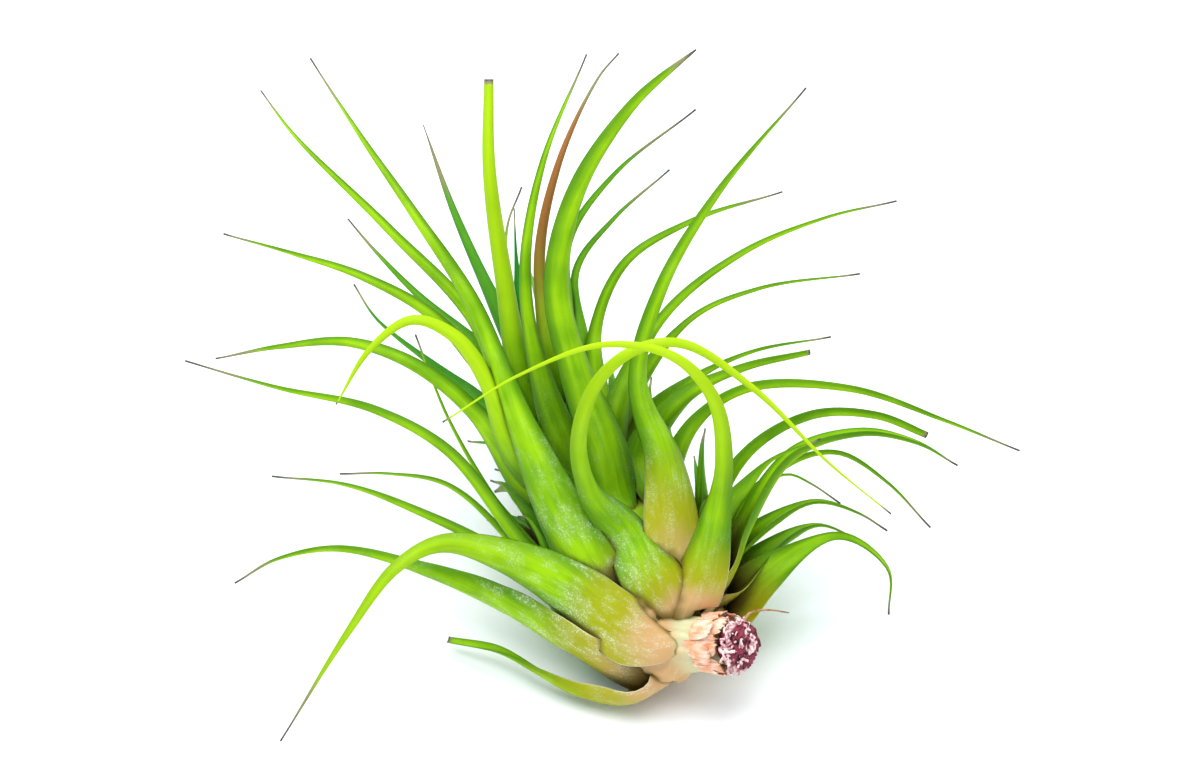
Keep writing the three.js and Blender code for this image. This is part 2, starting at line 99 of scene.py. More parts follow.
# Shares of the thickness on the two sides of the leaf's middle sheet.
INNER_HALF = 0.35
OUTER_HALF = 0.6
MARGIN_THINNING = 0.75
MARGIN_RIPPLE = 0.35 * MM
RIPPLE_LENGTH = 5 * MM
BLADE_SWAY = 0.12
SWAY_SPAN = (0.3, 0.8)
# How finely leaves and curves are drawn, and how close two points are that become one.
LEAF_SIDES = 16
STATION_GAP = 1.0 * MM
MOST_STATIONS = 110
FEWEST_STATIONS = 24
CURVE_PARTS = 24
MERGED = 0.001 * MM

# Roots of the leaves. Those that would root below the outer rank are rooted round the neck.
ROOT_SETBACK = 10 * MM
ROOT_SINK = 1.6 * MM
OUTER_RANK = 4 * MM
ROOT_ON_STUB = 2.5 * MM
ROOT_OFF_STUB = 2.6 * MM
ROOT_LAYERS = 0.6 * MM
# Shares of the way from the root, or from the neck, at which a sheath lies on the bulb.
FLANK_SHARE = 0.45
NECK_FLANK_SHARES = (0.3, 0.65)
SHEATH_LIFT = 0.2 * MM
# A sheath is thinner and narrower at its root, and is full-grown this far from it.
FULL_GROWN = 8 * MM
ROOT_WIDTH_SHARE = 0.5
ROOT_THICKNESS_SHARE = 0.5

# The leaves are measured in a view from 45 degrees above, looking along +Y. A route point is
# (to the right, up the view, height above the surface) in millimetres, and a route starts where its
# leaf leaves the bulb, or at the root where the leaf is rooted.
# Width is the blade's, and taper the power that it narrows by. A blunt blade ends broad. The sheath's
# length and width are given where it shows, a clasped sheath hugs the bulb from its root, and roll
# turns it round its own line, in radians. Frost is how thickly the silvery scales lie on the sheath,
# sun how far the blade's outer half is yellowed and lightened, partly as painted light, painted shade
# how deeply its green is painted darker, as shade on a leaf at the back or underneath, bronze how
# brown its outer half is, dry the share of it that has dried, and blush how many times further the
# pale base reaches.
VIEW_ANGLE = math.radians(45)
# Two long leaves in front, which rise and arch over to the right and to the left.
FRONT_LEAVES = [
    dict(width=3.6, taper=1.2, sheath_width=10, frost=0.9, sun=1.0, dry=0.02, route=[
        (8.8, 13, 14.6), (7.4, 16, 18), (5.5, 19.6, 21), (2.5, 24.5, 24), (-1.7, 29.3, 30),
        (-3.4, 36.5, 38.5), (-1.3, 44, 46), (3.5, 48.6, 50), (10, 49.8, 50), (20, 43.7, 42),
        (30, 34, 31), (39, 26.7, 20.5),
    ]),
    dict(width=3.7, taper=1.2, frost=0.45, sun=1.0, dry=0.02, sheath_width=8.5, rooted=True, route=[
        (9.2, 9.3, 10.8), (10.2, 12, 13.6), (11.5, 15, 16.5), (13, 18.7, 20), (14.2, 24, 26),
        (15.7, 34, 37), (14.3, 42.3, 46), (9, 48, 52.5), (0, 49.7, 54), (-11.7, 45.7, 48),
        (-22.3, 39.3, 38),
    ]),
]
# Upper left, from the near side of the bulb to the far side.
UPPER_LEFT_LEAVES = [
    dict(width=4.6, taper=1, sheath_length=28, sheath_width=10, frost=0.8, blush=1.3, route=[
        (5, 12.3, 14.5), (1.2, 15, 16.9), (-1.5, 17.8, 18.8), (-6.7, 27, 26), (-11.7, 38, 33),
        (-18.3, 55, 43), (-26.7, 68, 50.5), (-33.3, 77.7, 55), (-40.7, 89.3, 57),
    ]),
    dict(width=2.6, route=[
        (-12.7, 40, 28), (-18.3, 53.3, 36), (-30, 65.7, 42), (-42.7, 78.3, 47), (-47.7, 85, 48),
    ]),
    dict(width=2, painted_shade=0.5, dry=0.16, route=[
        (-17.5, 49, 26), (-26.7, 57.3, 30), (-31.7, 62.5, 32.5), (-35.7, 67.3, 34),
    ]),
    dict(width=2.4, route=[
        (-15, 44, 27), (-24, 53.8, 33), (-33.3, 59, 35), (-43.3, 62.4, 33.5), (-53, 65.3, 29),
    ]),
    dict(width=1.8, painted_shade=0.7, route=[(-15, 40, 19), (-24, 47, 20), (-31.7, 53.3, 20), (-35, 58.3, 20)]),
    dict(width=3, route=[
        (-12, 32, 24), (-18.3, 40.5, 28), (-26, 46.7, 31.5), (-35, 50, 31), (-45, 49.5, 26),
        (-54, 48, 20),
    ]),
    dict(width=3.6, sun=0.8, dry=0.01, route=[
        (-12.5, 35, 29), (-16.5, 45, 37), (-20.7, 50.7, 42), (-26.5, 53, 44), (-32, 49.3, 40.5),
        (-37, 41.7, 32),
    ]),
    dict(width=2.6, painted_shade=0.7, dry=0.2, route=[
        (-11, 47, 25), (-15, 55, 29), (-21, 68.3, 36), (-25.3, 80.3, 42),
    ]),
    dict(width=2.9, blunt=True, sun=0.7, route=[
        (-11.5, 45, 28), (-14.2, 60, 39), (-15.9, 74, 51), (-16, 86.3, 60),
    ]),
    dict(width=1.2, dry=0.2, route=[(-12.5, 52, 29), (-13.7, 65.7, 36), (-11.7, 71.7, 38)]),
    dict(width=1.4, painted_shade=1, route=[(-11, 50, 27), (-12.3, 61, 33), (-12.7, 68.7, 38)]),
]
# Top, from left to right.
TOP_LEAVES = [
    dict(width=2.6, route=[
        (-6.5, 38, 26), (-10.3, 51, 36.5), (-11, 61.7, 45), (-8.5, 75, 55), (-2.7, 89.7, 63.5),
    ]),
    dict(width=2.4, bronze=1, dry=0.16, route=[
        (-7.5, 48, 31), (-9, 62, 41), (-6.3, 75, 50.5), (-1, 86.7, 56), (1.7, 90, 57),
    ]),
    dict(width=4.8, taper=0.6, route=[
        (0, 36, 28), (-4, 47, 37.5), (-6.3, 58.3, 47), (-3.5, 71, 56.5), (3.5, 82.2, 63.3),
        (12.3, 90.3, 65.5),
    ]),
    dict(width=2, painted_shade=0.4, dry=0.2, route=[
        (-5, 52, 34), (-5, 64, 43.5), (1, 73, 49.5), (12.3, 82.3, 51),
    ]),
    dict(width=2, painted_shade=0.4, dry=0.16, route=[(-3, 49, 32), (-4, 60, 39), (1, 67, 43), (8.7, 74, 45)]),
    dict(width=2.2, route=[
        (-0.5, 40, 27), (-1.3, 51.7, 35), (2.7, 61, 42), (11.7, 66.7, 44), (24.3, 71, 40),
    ]),
    dict(width=3.6, sheath_length=22, sheath_width=10.5, frost=0.6, blush=1.75, route=[
        (9.5, 25, 23), (8.5, 34, 29), (4.7, 45, 38), (7.7, 57.3, 48), (15, 70, 57), (27.3, 85, 64.5),
    ]),
    dict(width=2, route=[(2, 42, 30), (8.3, 54, 39), (19, 62.5, 44), (30, 67.2, 45), (40, 69.7, 41.5)]),
    dict(width=1.5, route=[(4, 43, 27), (11.7, 53.3, 34), (21, 57.5, 35.8), (35, 59.7, 32)]),
]
# Right, from the far side down to the surface.
RIGHT_LEAVES = [
    dict(width=2.2, blunt=True, route=[(5, 34, 22), (11, 42.5, 29), (18.5, 46.4, 30), (28, 48.7, 28)]),
    dict(width=1.6, route=[(4, 37, 21), (11.7, 44.7, 27.5), (20, 48.8, 28), (31, 51, 25.5)]),
    dict(width=2.4, route=[
        (9, 28, 20), (12, 38.5, 29), (19, 43.6, 33.5), (33.3, 43.7, 31.5), (46.7, 39.3, 24),
        (57, 35.3, 16.5),
    ]),
    dict(width=2.5, blunt=True, route=[
        (14.5, 25, 17.5), (19.3, 34.7, 25), (28, 40, 28), (37, 40, 26.5), (44, 37.3, 23),
    ]),
    dict(width=4, route=[
        (16.5, 17, 13), (19.5, 25, 19), (25.7, 34.7, 26.5), (35, 37.7, 28), (42.5, 36.4, 25.2),
        (48.3, 33.3, 20.5),
    ]),
    dict(width=2, route=[(14.5, 22, 18), (22, 33.5, 27.5), (29.3, 37, 30.5)]),
    dict(width=2, route=[
        (16, 24, 15), (25, 33.3, 21), (31.5, 35, 22.5), (38.5, 31, 17), (44.7, 24.7, 9.5),
    ]),
    dict(width=2.3, route=[
        (15.5, 18, 11), (21.5, 24.5, 16), (28.5, 28.2, 17.5), (34.7, 26.7, 15), (38.7, 24.3, 12),
    ]),
    dict(width=1.2, route=[
        (15.5, 23, 11), (21, 30, 14), (25, 32, 14.5), (28.3, 30.7, 13.8), (32.3, 28, 12),
    ]),
    dict(width=2, route=[(16, 14, 8.5), (22, 21, 12.5), (29, 25, 13.8), (35, 23, 11)]),
    dict(width=2.2, route=[
        (16, 12, 6.5), (21.7, 18, 12), (31.7, 23.5, 14.5), (38.7, 19, 8), (39, 12.7, 0.4),
    ]),
]
# Left, from the far side down to the surface.
LEFT_LEAVES = [
    dict(width=2.6, route=[
        (-6, 15, 13), (-13, 24, 18), (-21.7, 35, 23.5), (-31.7, 40.7, 25.5), (-45, 43.8, 22.5),
        (-58.3, 47.7, 17),
    ]),
    dict(width=1.8, route=[
        (-7, 14, 10), (-15, 24.7, 12.5), (-22, 30.5, 11.5), (-30, 32, 7), (-37, 32, 0.4),
    ]),
    dict(width=2.4, route=[
        (-5, 13, 11), (-15, 21.3, 14), (-27, 27.3, 14.8), (-36, 30.5, 11.5), (-46.3, 31.7, 5),
    ]),
    dict(width=4, taper=1, sheath_length=24, sheath_width=10, frost=1.0, sun=0.4, blush=1.35,
        rooted=True, clasped=True, route=[
        (10.1, 9.2, 12.3), (6.7, 9.4, 13.3), (2.5, 10.8, 14.8), (-4.5, 16, 18), (-14, 20.7, 21.2),
        (-22.5, 22.4, 22), (-28.5, 19.3, 19.5), (-35, 10.7, 12.5), (-44.6, -4.4, 0.4),
    ]),
    dict(width=3.2, sheath_length=26, sheath_width=11, frost=1.2, blush=1.6, route=[
        (7, 6.2, 8.9), (1, 5.6, 7.7), (-6, 9.2, 10), (-13, 13.5, 12), (-25, 18.8, 13),
        (-36.7, 21.7, 11.5), (-45, 20.4, 7.5), (-51.3, 17, 0.4),
    ]),
    dict(width=2, blunt=True, sheath_width=11, roll=0.7, frost=1, blush=1.6, route=[
        (11, 5.6, 6.2), (7.5, 3, 3.6), (3, 0.9, 2.6), (-3, 1.9, 2.8), (-9, 4.8, 3.6), (-15, 7.9, 3.6),
        (-21.7, 9.2, 2),
    ]),
    dict(width=1.5, route=[(-8, 17, 11), (-15, 27.7, 16), (-21.7, 39.5, 20.5), (-26.3, 51.3, 26)]),
]

# Colours, in sRGB.
LEAF_GREEN = "#76A60A"
LEAF_BRIGHT = "#9ECA10"
# Painted shade: the darker green on the margins of a curled leaf, where it turns from the light.
LEAF_EDGE_SHADE = "#41760C"
# The yellowed outer half of a blade, lightened partly as painted light.
LEAF_YELLOWED_AND_LIT = "#B6D61A"
# Painted shade: a deeper green for leaves at the back and underneath, which lie in shade.
LEAF_SHADE_GREEN = "#2E862A"
LEAF_BRONZE = "#9C6A38"
BASE_OLIVE = "#A8A61E"
BASE_PEACH = "#D0A876"
BASE_CREAM = "#D0CAA0"
SCALE_SILVER = "#E4EBD4"
MARGIN_CREAM = "#F2EDC4"
# Painted shade in the clefts between leaves: green, brown on the base and sheaths, darkest deep in.
CLEFT_SHADE_GREEN = "#2A5C12"
CLEFT_SHADE_BROWN = "#8C6C38"
CLEFT_SHADE_DARK = "#182C0A"
TIP_TAN = "#8E8A62"
TIP_GREY = "#5C5850"
PAPER_PEACH = "#F2AE86"
PAPER_CREAM = "#FADCC8"
PAPER_BROWN = "#AC6A44"
ROOT_DARK = "#2E0812"
ROOT_MAROON = "#9A4052"
ROOT_MAUVE = "#D49CA4"
ROOT_PINK = "#FBE0DA"
DRIED_DARK = "#5E3A26"
DRIED_BROWN = "#946644"
DRIED_TAN = "#C29A72"
# The base is palest round a point in the stub. It turns olive, peach and cream between two distances
# from there, in millimetres.
PALEST_ON_STUB = 6 * MM
OLIVE_BAND = (17.0, 9.0)
PEACH_BAND = (10.0, 6.0)
CREAM_BAND = (5.2, 2.8)

# The white paper that the plant lies on, the white surround, and a large soft light, with its power
# in watts.
FLOOR_SIZE = 3.0
FLOOR_COOL = "#F8FAFB"
FLOOR_WHITE = "#FCFCFC"
SURROUND_COLOUR = "#EAF4FF"
SURROUND_STRENGTH = 0.75
SOFTBOX_PLACE = Vector((-0.2, 0.12, 1.25))
SOFTBOX_SIZE = 1.4
SOFTBOX_POWER = 17.0

# Leaves of the sides that the view hides follow the spiral that leaves grow in. The first one starts
# at a distance along the stem, and the next ones follow at their spacing. Middle and fan are turns
# round the stem from its upper side, in radians. Shorter is the share of its length that a leaf
# at the edge of the fan lacks, and spread its least angle to the stem.
GOLDEN_ANGLE = math.radians(137.5)
UNDERSIDE = dict(
    leaves=18, start=3, spacing=1.5, length=30, middle=math.pi, fan=1.2, shorter=0.62, spread=0.25)
FAR_SIDE = dict(
    leaves=18, start=4, spacing=2.2, length=20, middle=1.8, fan=0.55, shorter=0.2, spread=0.2)
LEFT_SIDE = dict(
    leaves=14, start=9, spacing=2.1, length=15, middle=4.6, fan=0.5, shorter=0.2, spread=0)
HIDDEN_WIDTH = 2.8
# Painted shade that darkens the leaves the view hides.
HIDDEN_PAINTED_SHADE = 0.3
HIDDEN_STEPS = (0, 0.35, 0.7, 1)
HIDDEN_LIFT = 0.4 * MM
HIDDEN_FLARE = 1.4
HIDDEN_ARCH = 4 * MM

# The cut stub bends away from the stem. Distances run from the neck along the stub.
STUB_HEADING = Vector((0.86, -0.39, 0.33)).normalized()
NECK_RADIUS = 3.2 * MM
# The core runs from inside the collar to the heart. Its middle line goes through points on the stub
# and on the stem, and its profile is (share of the length, radius). It is folded lengthwise, and
# the folds fade towards the heart.
CORE_ON_STUB = (9, 6, 3.5, 1)
CORE_ON_STEM = (1.5, 4, 8, 14, 22, 30, 37)
CORE_PROFILE = [
    (0, 2.8), (0.06, 3.8), (0.107, 4.2), (0.161, 5.6), (0.209, 7.6), (0.262, 9.6), (0.345, 11),
    (0.477, 10.4), (0.655, 7.8), (0.86, 4.2), (0.96, 2.4), (1, 1),
]
CORE_LENGTH = 47 * MM
CORE_SIDES = 96
CORE_STEPS = 90
CORE_FOLDS = 4
CORE_FOLD_DEPTH = 0.7 * MM
CORE_FOLDS_FADE = (1, 0.8)
CORE_FROST = 0.4
# Painted shade that darkens the core's green.
CORE_PAINTED_SHADE = 0.1
CORE_BLUSH = 1.4
STUB_START = 9.3 * MM
STUB_END = 12.2 * MM
COLLAR_START = 5.8 * MM
COLLAR_END = 11.6 * MM
# Leaves keep this far from the middle of the stub beside the collar, and come to it over a distance.
COLLAR_ROOM = 4.9 * MM
COLLAR_APPROACH = 2 * MM

# Papery scales of the collar, in layers round the neck. Each flares and frays towards its torn end.
SCALES = 13
SCALE_LAYERS = 3
SCALE_COLUMNS = 20
SCALE_ROWS = 22
SCALE_WIDTH = 3.6 * MM
SCALE_THICKNESS = 0.22 * MM
SCALE_GAP = 0.35 * MM
SCALE_MIDDLE = 0.6 * MM
SCALE_LIFT = 0.45 * MM
SCALE_CREASE = 0.22 * MM
SCALE_FLARE = 0.35 * MM
SCALE_FRAY = 0.25 * MM
SCALE_TEAR = 0.28
SCALE_ROUNDING = 0.12
SCALE_ROOT = 2.5 * MM
SCALE_STARTS = 1.4 * MM
SCALE_ENDS = 1.8 * MM

# Clipped wiry roots on the cut end, and one longer dried root.
PITH_RADIUS = 3.1 * MM
PITH_DOME = 1.2 * MM
PITH_CRUMB = 0.55 * MM
WIRY_ROOTS = 170
WIRY_ROOT_RADIUS = 0.28 * MM
WIRY_ROOT_REACH = 2.3 * MM
WIRY_ROOT_LEAN = 1.1
WIRY_ROOT_CURL = 0.8 * MM
WIRY_ROOT_SPREAD = 0.95
WIRY_ROOT_SINK = 0.4 * MM
WIRY_ROOT_FALL = 1.2 * MM
DRIED_ROOT = [(18.4, 10.8, 14.1), (19.5, 13.1, 15.9), (22, 13.6, 15.7), (25, 13.2, 14.8)]
DRIED_ROOT_RADIUS = 0.26 * MM

# The camera looks down at the photograph's 45 degrees, through a long lens.
CAMERA_TARGET = Vector((-0.2, 9.4, 22)) * MM
CAMERA_DISTANCE = 2.3
CAMERA_LENS = 500

# Clefts, which the leaf material darkens as painted shade, are felt for with short rays from just off the
# surface, and their edges are blurred.
CLEFT_RAYS = 12
CLEFT_START = 0.03 * MM
CLEFT_REACH = 7 * MM
CLEFT_BLUR = 2

# Share of a leaf that has dried at its tip, or at a blunt end, and the frost of most leaves.
TIP_DRY = 0.08
BLUNT_DRY = 0.012
USUAL_FROST = 0.2


def draw(seed):
    """The same draw, from 0 to 1, comes back for the same seed."""
    wave = math.sin(seed * 12.9898 + 4.1414) * 43758.5453
    return wave - math.floor(wave)


def clamp(value, low, high):
    return max(low, min(high, value))


def mix(start, end, share):
    return start + (end - start) * share


def smoothstep(value, low, high):
    share = clamp((value - low) / (high - low), 0, 1)
    return share * share * (3 - 2 * share)


def square_to(vector, axis):
    """The part of a vector that stands square to an axis, at length 1."""
    return (vector - axis * vector.dot(axis)).normalized()


STEM_AXIS = Vector((
    math.cos(STEM_RISE) * math.cos(STEM_HEADING),
    math.cos(STEM_RISE) * math.sin(STEM_HEADING),
    math.sin(STEM_RISE),
))
STEM_TOP = square_to(Vector((0, 0, 1)), STEM_AXIS)
STEM_SIDE = STEM_AXIS.cross(STEM_TOP)
STUB_TOP = square_to(Vector((0, 0, 1)), STUB_HEADING)
STUB_SIDE = STUB_HEADING.cross(STUB_TOP)


def point_on_stem(distance):
    return NECK + STEM_AXIS * distance


def point_on_stub(distance):
    return NECK + STUB_HEADING * distance


def rank_on_stem(place):
    """Distance along the stem of the stem's nearest point."""
    return (place - NECK).dot(STEM_AXIS)


def out_from_stem(turn):
    return STEM_TOP * math.cos(turn) + STEM_SIDE * math.sin(turn)


def out_from_stub(turn):
    return STUB_TOP * math.cos(turn) + STUB_SIDE * math.sin(turn)


def from_view(point):
    right, up, height = point
    away = (up - height * math.cos(VIEW_ANGLE)) / math.sin(VIEW_ANGLE)
    return Vector((right, away, height)) * MM - ORIGIN


def bulb_radius(along):
    last = BULB_PROFILE[0]
    for after in BULB_PROFILE:
        if along <= after[0] * MM:
            span = max(after[0] - last[0], 1e-6) * MM
            share = clamp((along - last[0] * MM) / span, 0, 1)
            return mix(last[1], after[1], share) * MM
        last = after
    return last[1] * MM


def point_on_bulb(along, out, lift):
    return point_on_stem(along) + out * (bulb_radius(along) + lift)


def smooth_curve(points, stations):
    """Even steps along a smooth curve through the points, and the curve's length."""
    spaced = [points[0] * 2 - points[1], *points, points[-1] * 2 - points[-2]]
    fine = []
    for before, start, end, after in zip(spaced, spaced[1:], spaced[2:], spaced[3:]):
        gaps = [math.sqrt((b - a).length) for a, b in ((before, start), (start, end), (end, after))]
        leave = (start - before) / gaps[0] - (end - before) / (gaps[0] + gaps[1]) + (end - start) / gaps[1]
        arrive = (end - start) / gaps[1] - (after - start) / (gaps[1] + gaps[2]) + (after - end) / gaps[2]
        leave *= gaps[1]
        arrive *= gaps[1]
        for part in range(CURVE_PARTS):
            share = part / CURVE_PARTS
            square, cube = share ** 2, share ** 3
            fine.append(
                start * (2 * cube - 3 * square + 1) + leave * (cube - 2 * square + share)
                + end * (3 * square - 2 * cube) + arrive * (cube - square)
            )
    fine.append(points[-1].copy())
    reached = [0.0]
    for a, b in zip(fine, fine[1:]):
        reached.append(reached[-1] + (b - a).length)
    even = []
    part = 0
    for station in range(stations + 1):
        goal = reached[-1] * station / stations
        while part < len(fine) - 2 and reached[part + 1] < goal:
            part += 1
        share = (goal - reached[part]) / max(reached[part + 1] - reached[part], 1e-12)
        even.append(fine[part].lerp(fine[part + 1], share))
    return even, reached[-1]


def tangent_at(path, station):
    return (path[min(station + 1, len(path) - 1)] - path[max(station - 1, 0)]).normalized()


def with_sheath(route, layer):
    """The route with a root before it, and with points between them where the sheath lies on the bulb."""
    along = rank_on_stem(route[0])
    out = (route[0] - point_on_stem(along)).normalized()
    root_along = along - ROOT_SETBACK
    if root_along > OUTER_RANK:
        flank = point_on_bulb(mix(root_along, along, FLANK_SHARE), out, SHEATH_LIFT)
        return [point_on_bulb(root_along, out, -ROOT_SINK), flank, *route]
    from_neck = square_to(out, STUB_HEADING)
    root = point_on_stub(ROOT_ON_STUB) + from_neck * (ROOT_OFF_STUB + ROOT_LAYERS * layer)
    shares = NECK_FLANK_SHARES if along > OUTER_RANK else ()
    return [root, *(point_on_bulb(share * along, out, SHEATH_LIFT) for share in shares), *route]


def hidden_route(index, side):
    """The route of a leaf that the view hides, from the bulb outwards and clear of the surface."""
    across = 2 * ((index * GOLDEN_ANGLE / (2 * math.pi)) % 1) - 1
    out = out_from_stem(side["middle"] + side["fan"] * across)
    start = (side["start"] + index * side["spacing"]) * MM
    length = side["length"] * MM * (0.85 + 0.3 * draw(index)) * (1 - side["shorter"] * abs(across))
    spread = side["spread"] + 0.2 * draw(index + 50)
    points = []
    for step in HIDDEN_STEPS:
        point = point_on_stem(start + length * step * math.cos(spread))
        point += out * (bulb_radius(start) + HIDDEN_LIFT + length * math.sin(spread) * step ** HIDDEN_FLARE)
        point.z = max(point.z, FLOOR_CLEARANCE) + HIDDEN_ARCH * math.sin(math.pi * step)
        points.append(point)
    return points


def hidden_leaves(side):
    return [
        dict(route=hidden_route(index, side), width=HIDDEN_WIDTH, painted_shade=HIDDEN_PAINTED_SHADE)
        for index in range(side["leaves"])
    ]


def turned(face, axis, angle):
    """A direction that is square to an axis, turned round it."""
    return face * math.cos(angle) + axis.cross(face) * math.sin(angle)


def core_beside(place):
    """The direction to the middle of the stem and stub, mostly of the nearer, and the distance to it."""
    beyond = max((place - NECK).dot(STUB_HEADING), 0)
    ways = [point_on_stem(rank_on_stem(place)) - place, point_on_stub(beyond) - place]
    inward = ways[0] / ways[0].length ** 4 + ways[1] / ways[1].length ** 4
    return inward.normalized(), min(way.length for way in ways)


def turned_faces(path, length, sheath_length, roll, hug_starts):
    """Which way a leaf's channel opens: to the core on the bulb, up the stem, and outwards on an arch."""
    root = path[0]
    last = len(path) - 1
    tangent = tangent_at(path, 0)
    face = turned(square_to(core_beside(root)[0] + STEM_AXIS, tangent), tangent, roll)
    crown = path[round(ARCH_TOP * last)] - (root + path[-1]) / 2
    pull = CROWN_PULL * clamp(crown.length / (HIGH_ARCH * length), 0, 1)
    crown.normalize()
    faces = []
    for station in range(last + 1):
        tangent = tangent_at(path, station)
        walked = length * station / last
        loose = smoothstep(walked, HUG_ENDS[0] * sheath_length, HUG_ENDS[1] * sheath_length)
        hug = smoothstep(walked, *hug_starts) * (1 - loose)
        inward = core_beside(path[station])[0]
        hug *= 1 - inward.dot(tangent) ** 2
        held = turned(square_to(inward, tangent), tangent, roll)
        face = square_to(square_to(face, tangent).lerp(held, hug), tangent)
        share = pull * smoothstep(station / last, *CROWN_SPAN)
        faces.append(square_to(face.lerp(crown, share), tangent))
    return faces


def leaf_stations(leaf, seed):
    """Place, directions and sizes of the leaf's section at even steps from its root to its tip."""
    rough = leaf["route"] if leaf.get("rooted", False) else with_sheath(leaf["route"], draw(seed + 5))
    reach = sum((b - a).length for a, b in zip(rough, rough[1:]))
    count = round(clamp(reach / STATION_GAP, FEWEST_STATIONS, MOST_STATIONS))
    path, length = smooth_curve(rough, count)
    width = leaf["width"] * MM
    blunt = leaf.get("blunt", False)
    taper = leaf.get("taper", BLADE_TAPER)
    sheath_length = leaf.get("sheath_length", SHEATH_LENGTH / MM) * MM
    hug_starts = CLASPED_STARTS if leaf.get("clasped", False) else HUG_STARTS
    faces = turned_faces(path, length, sheath_length, leaf.get("roll", 0), hug_starts)
    youth = smoothstep(rank_on_stem(path[0]), OLD_RANK, YOUNG_RANK)
    usual = mix(SHEATH_WIDTH, YOUNG_SHEATH_WIDTH, youth)
    broad = leaf["sheath_width"] * MM if "sheath_width" in leaf else usual
    tip = BLUNT_SHARE * width if blunt else TIP_WIDTH
    stations = []
    for station, (place, face) in enumerate(zip(path, faces)):
        along = station / count
        tangent = tangent_at(path, station)
        girth = core_beside(place)[1]
        sheath = 1 - smoothstep(
            along * length, SHEATH_NARROWS[0] * sheath_length, SHEATH_NARROWS[1] * sheath_length)
        if blunt:
            blade = mix(BLUNT_SWELL * width, tip, along)
        else:
            blade = BLADE_SWELL * width * (1 - along) ** taper
        blade = max(tip, blade)
        wide = mix(blade, min(max(broad, blade), CLASP_SHARE * girth), sheath)
        grown = smoothstep(along * length, 0, FULL_GROWN)
        wide *= mix(ROOT_WIDTH_SHARE, 1, grown)
        hug = clamp(wide / girth, LEAST_CURL, MOST_CURL)
        thick = clamp(THICKNESS_SHARE * wide, THINNEST_LEAF, mix(LEAF_THICKNESS, SHEATH_THICKNESS, sheath))
        thick *= mix(ROOT_THICKNESS_SHARE, 1, grown)
        sway = BLADE_SWAY * smoothstep(along, *SWAY_SPAN) * math.sin(5 * along + 6.3 * draw(seed))
        face = turned(face, tangent, sway)
        stations.append(dict(
            place=place, face=face, side=face.cross(tangent), along=along, sheath=sheath, wide=wide,
            thick=thick, curl=mix(BLADE_CURL, hug, sheath), length=length,
        ))
    return stations


def place_on_leaf(station, across, depth, seed):
    """A point of the curled section. Across is from margin to margin, and depth towards the outer face."""
    radius = CHORD_SHARE * station["wide"] / (2 * math.sin(station["curl"] / 2))
    bend = across * station["curl"] / 2
    half = OUTER_HALF if depth > 0 else INNER_HALF
    swell = max(1 - across * across, 0) ** MARGIN_THINNING * half * station["thick"]
    place = station["place"] + station["side"] * (radius * math.sin(bend))
    ripple = noise.noise(Vector((station["along"] * station["length"] / RIPPLE_LENGTH, 3 * seed, across)))
    rise = radius * (1 - math.cos(bend)) - math.copysign(swell, depth)
    rise += MARGIN_RIPPLE * ripple * station["sheath"] * across * across
    place += station["face"] * rise
    return clear_of_collar(place)


def clear_of_collar(place):
    """Sheath margins keep clear of the collar, and leaves that touch the surface are pressed flat."""
    beyond = (place - NECK).dot(STUB_HEADING)
    away = place - point_on_stub(beyond)
    short = COLLAR_ROOM * smoothstep(beyond, COLLAR_START - COLLAR_APPROACH, COLLAR_START) - away.length
    if short > 0:
        place = place + away.normalized() * short
    place.z = max(place.z, FLOOR_TOUCH)
    return place


def add_leaf(bm, layers, leaf, seed):
    """One leaf: a sheet rolled into a closed, curled section that is drawn out along its route."""
    stations = leaf_stations(leaf, seed)
    rows = len(stations) + 1
    grid = bmesh.ops.create_grid(bm, x_segments=LEAF_SIDES, y_segments=rows, size=0.5)
    for vert in grid["verts"]:
        turn = (vert.co.x + 0.5) * 2 * math.pi
        row = round((vert.co.y + 0.5) * rows)
        station = stations[clamp(row - 1, 0, len(stations) - 1)]
        at_pole = row in (0, rows)
        across = 0 if at_pole else math.sin(turn)
        depth = math.cos(turn)
        vert.co = station["place"] if at_pole else place_on_leaf(station, across, depth, seed)
        from_neck = (vert.co - point_on_stub(PALEST_ON_STUB)).length
        travelled = station["along"] * station["length"]
        blush = from_neck / leaf.get("blush", 1)
        vert[layers["place"]] = (across * station["wide"] / 2 / MM, travelled / MM, blush / MM)
        vert[layers["edge"]] = (across, station["along"], station["sheath"])
        # Look holds the frost, the yellowing that is partly painted light, and the share of painted shade.
        vert[layers["look"]] = (leaf.get("frost", USUAL_FROST), leaf.get("sun", 0.0), leaf.get("painted_shade", 0.0))
        dry = leaf.get("dry", BLUNT_DRY if "blunt" in leaf else TIP_DRY * (0.6 + draw(seed + 13)))
        vert[layers["age"]] = (dry, leaf.get("bronze", 0.0), 10 * draw(seed + 11))
    bmesh.ops.remove_doubles(bm, verts=grid["verts"], dist=MERGED)


def add_object(name, data):
    thing = bpy.data.objects.new(name, data)
    bpy.context.scene.collection.objects.link(thing)
    return thing


def object_from(bm, name, material):
    """Makes a bmesh an object in the scene, and frees it."""
    mesh = bpy.data.meshes.new(name)
    bm.to_mesh(mesh)
    bm.free()
    mesh.materials.append(material)
    return add_object(name, mesh)


def finish_piece(bm, name, node, material):
    """Turns the faces outwards, makes the object, and puts it on the frame in place of its node."""
    bmesh.ops.recalc_face_normals(bm, faces=bm.faces)
    for face in bm.faces:
        face.smooth = True
    piece = object_from(bm, name, material)
    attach(piece, "root")
    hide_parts(node)
    return piece


def measured(leaves):
    """The leaves with their routes in the frame instead of the view."""
    return [dict(leaf, route=[from_view(point) for point in leaf["route"]]) for leaf in leaves]


def make_leaves(name, leaves, first_seed, material):
    bm = bmesh.new()
    layers = leaf_layers(bm)
    for index, leaf in enumerate(leaves):
        add_leaf(bm, layers, leaf, first_seed + index)
    return finish_piece(bm, name, "leaf_rosette", material)


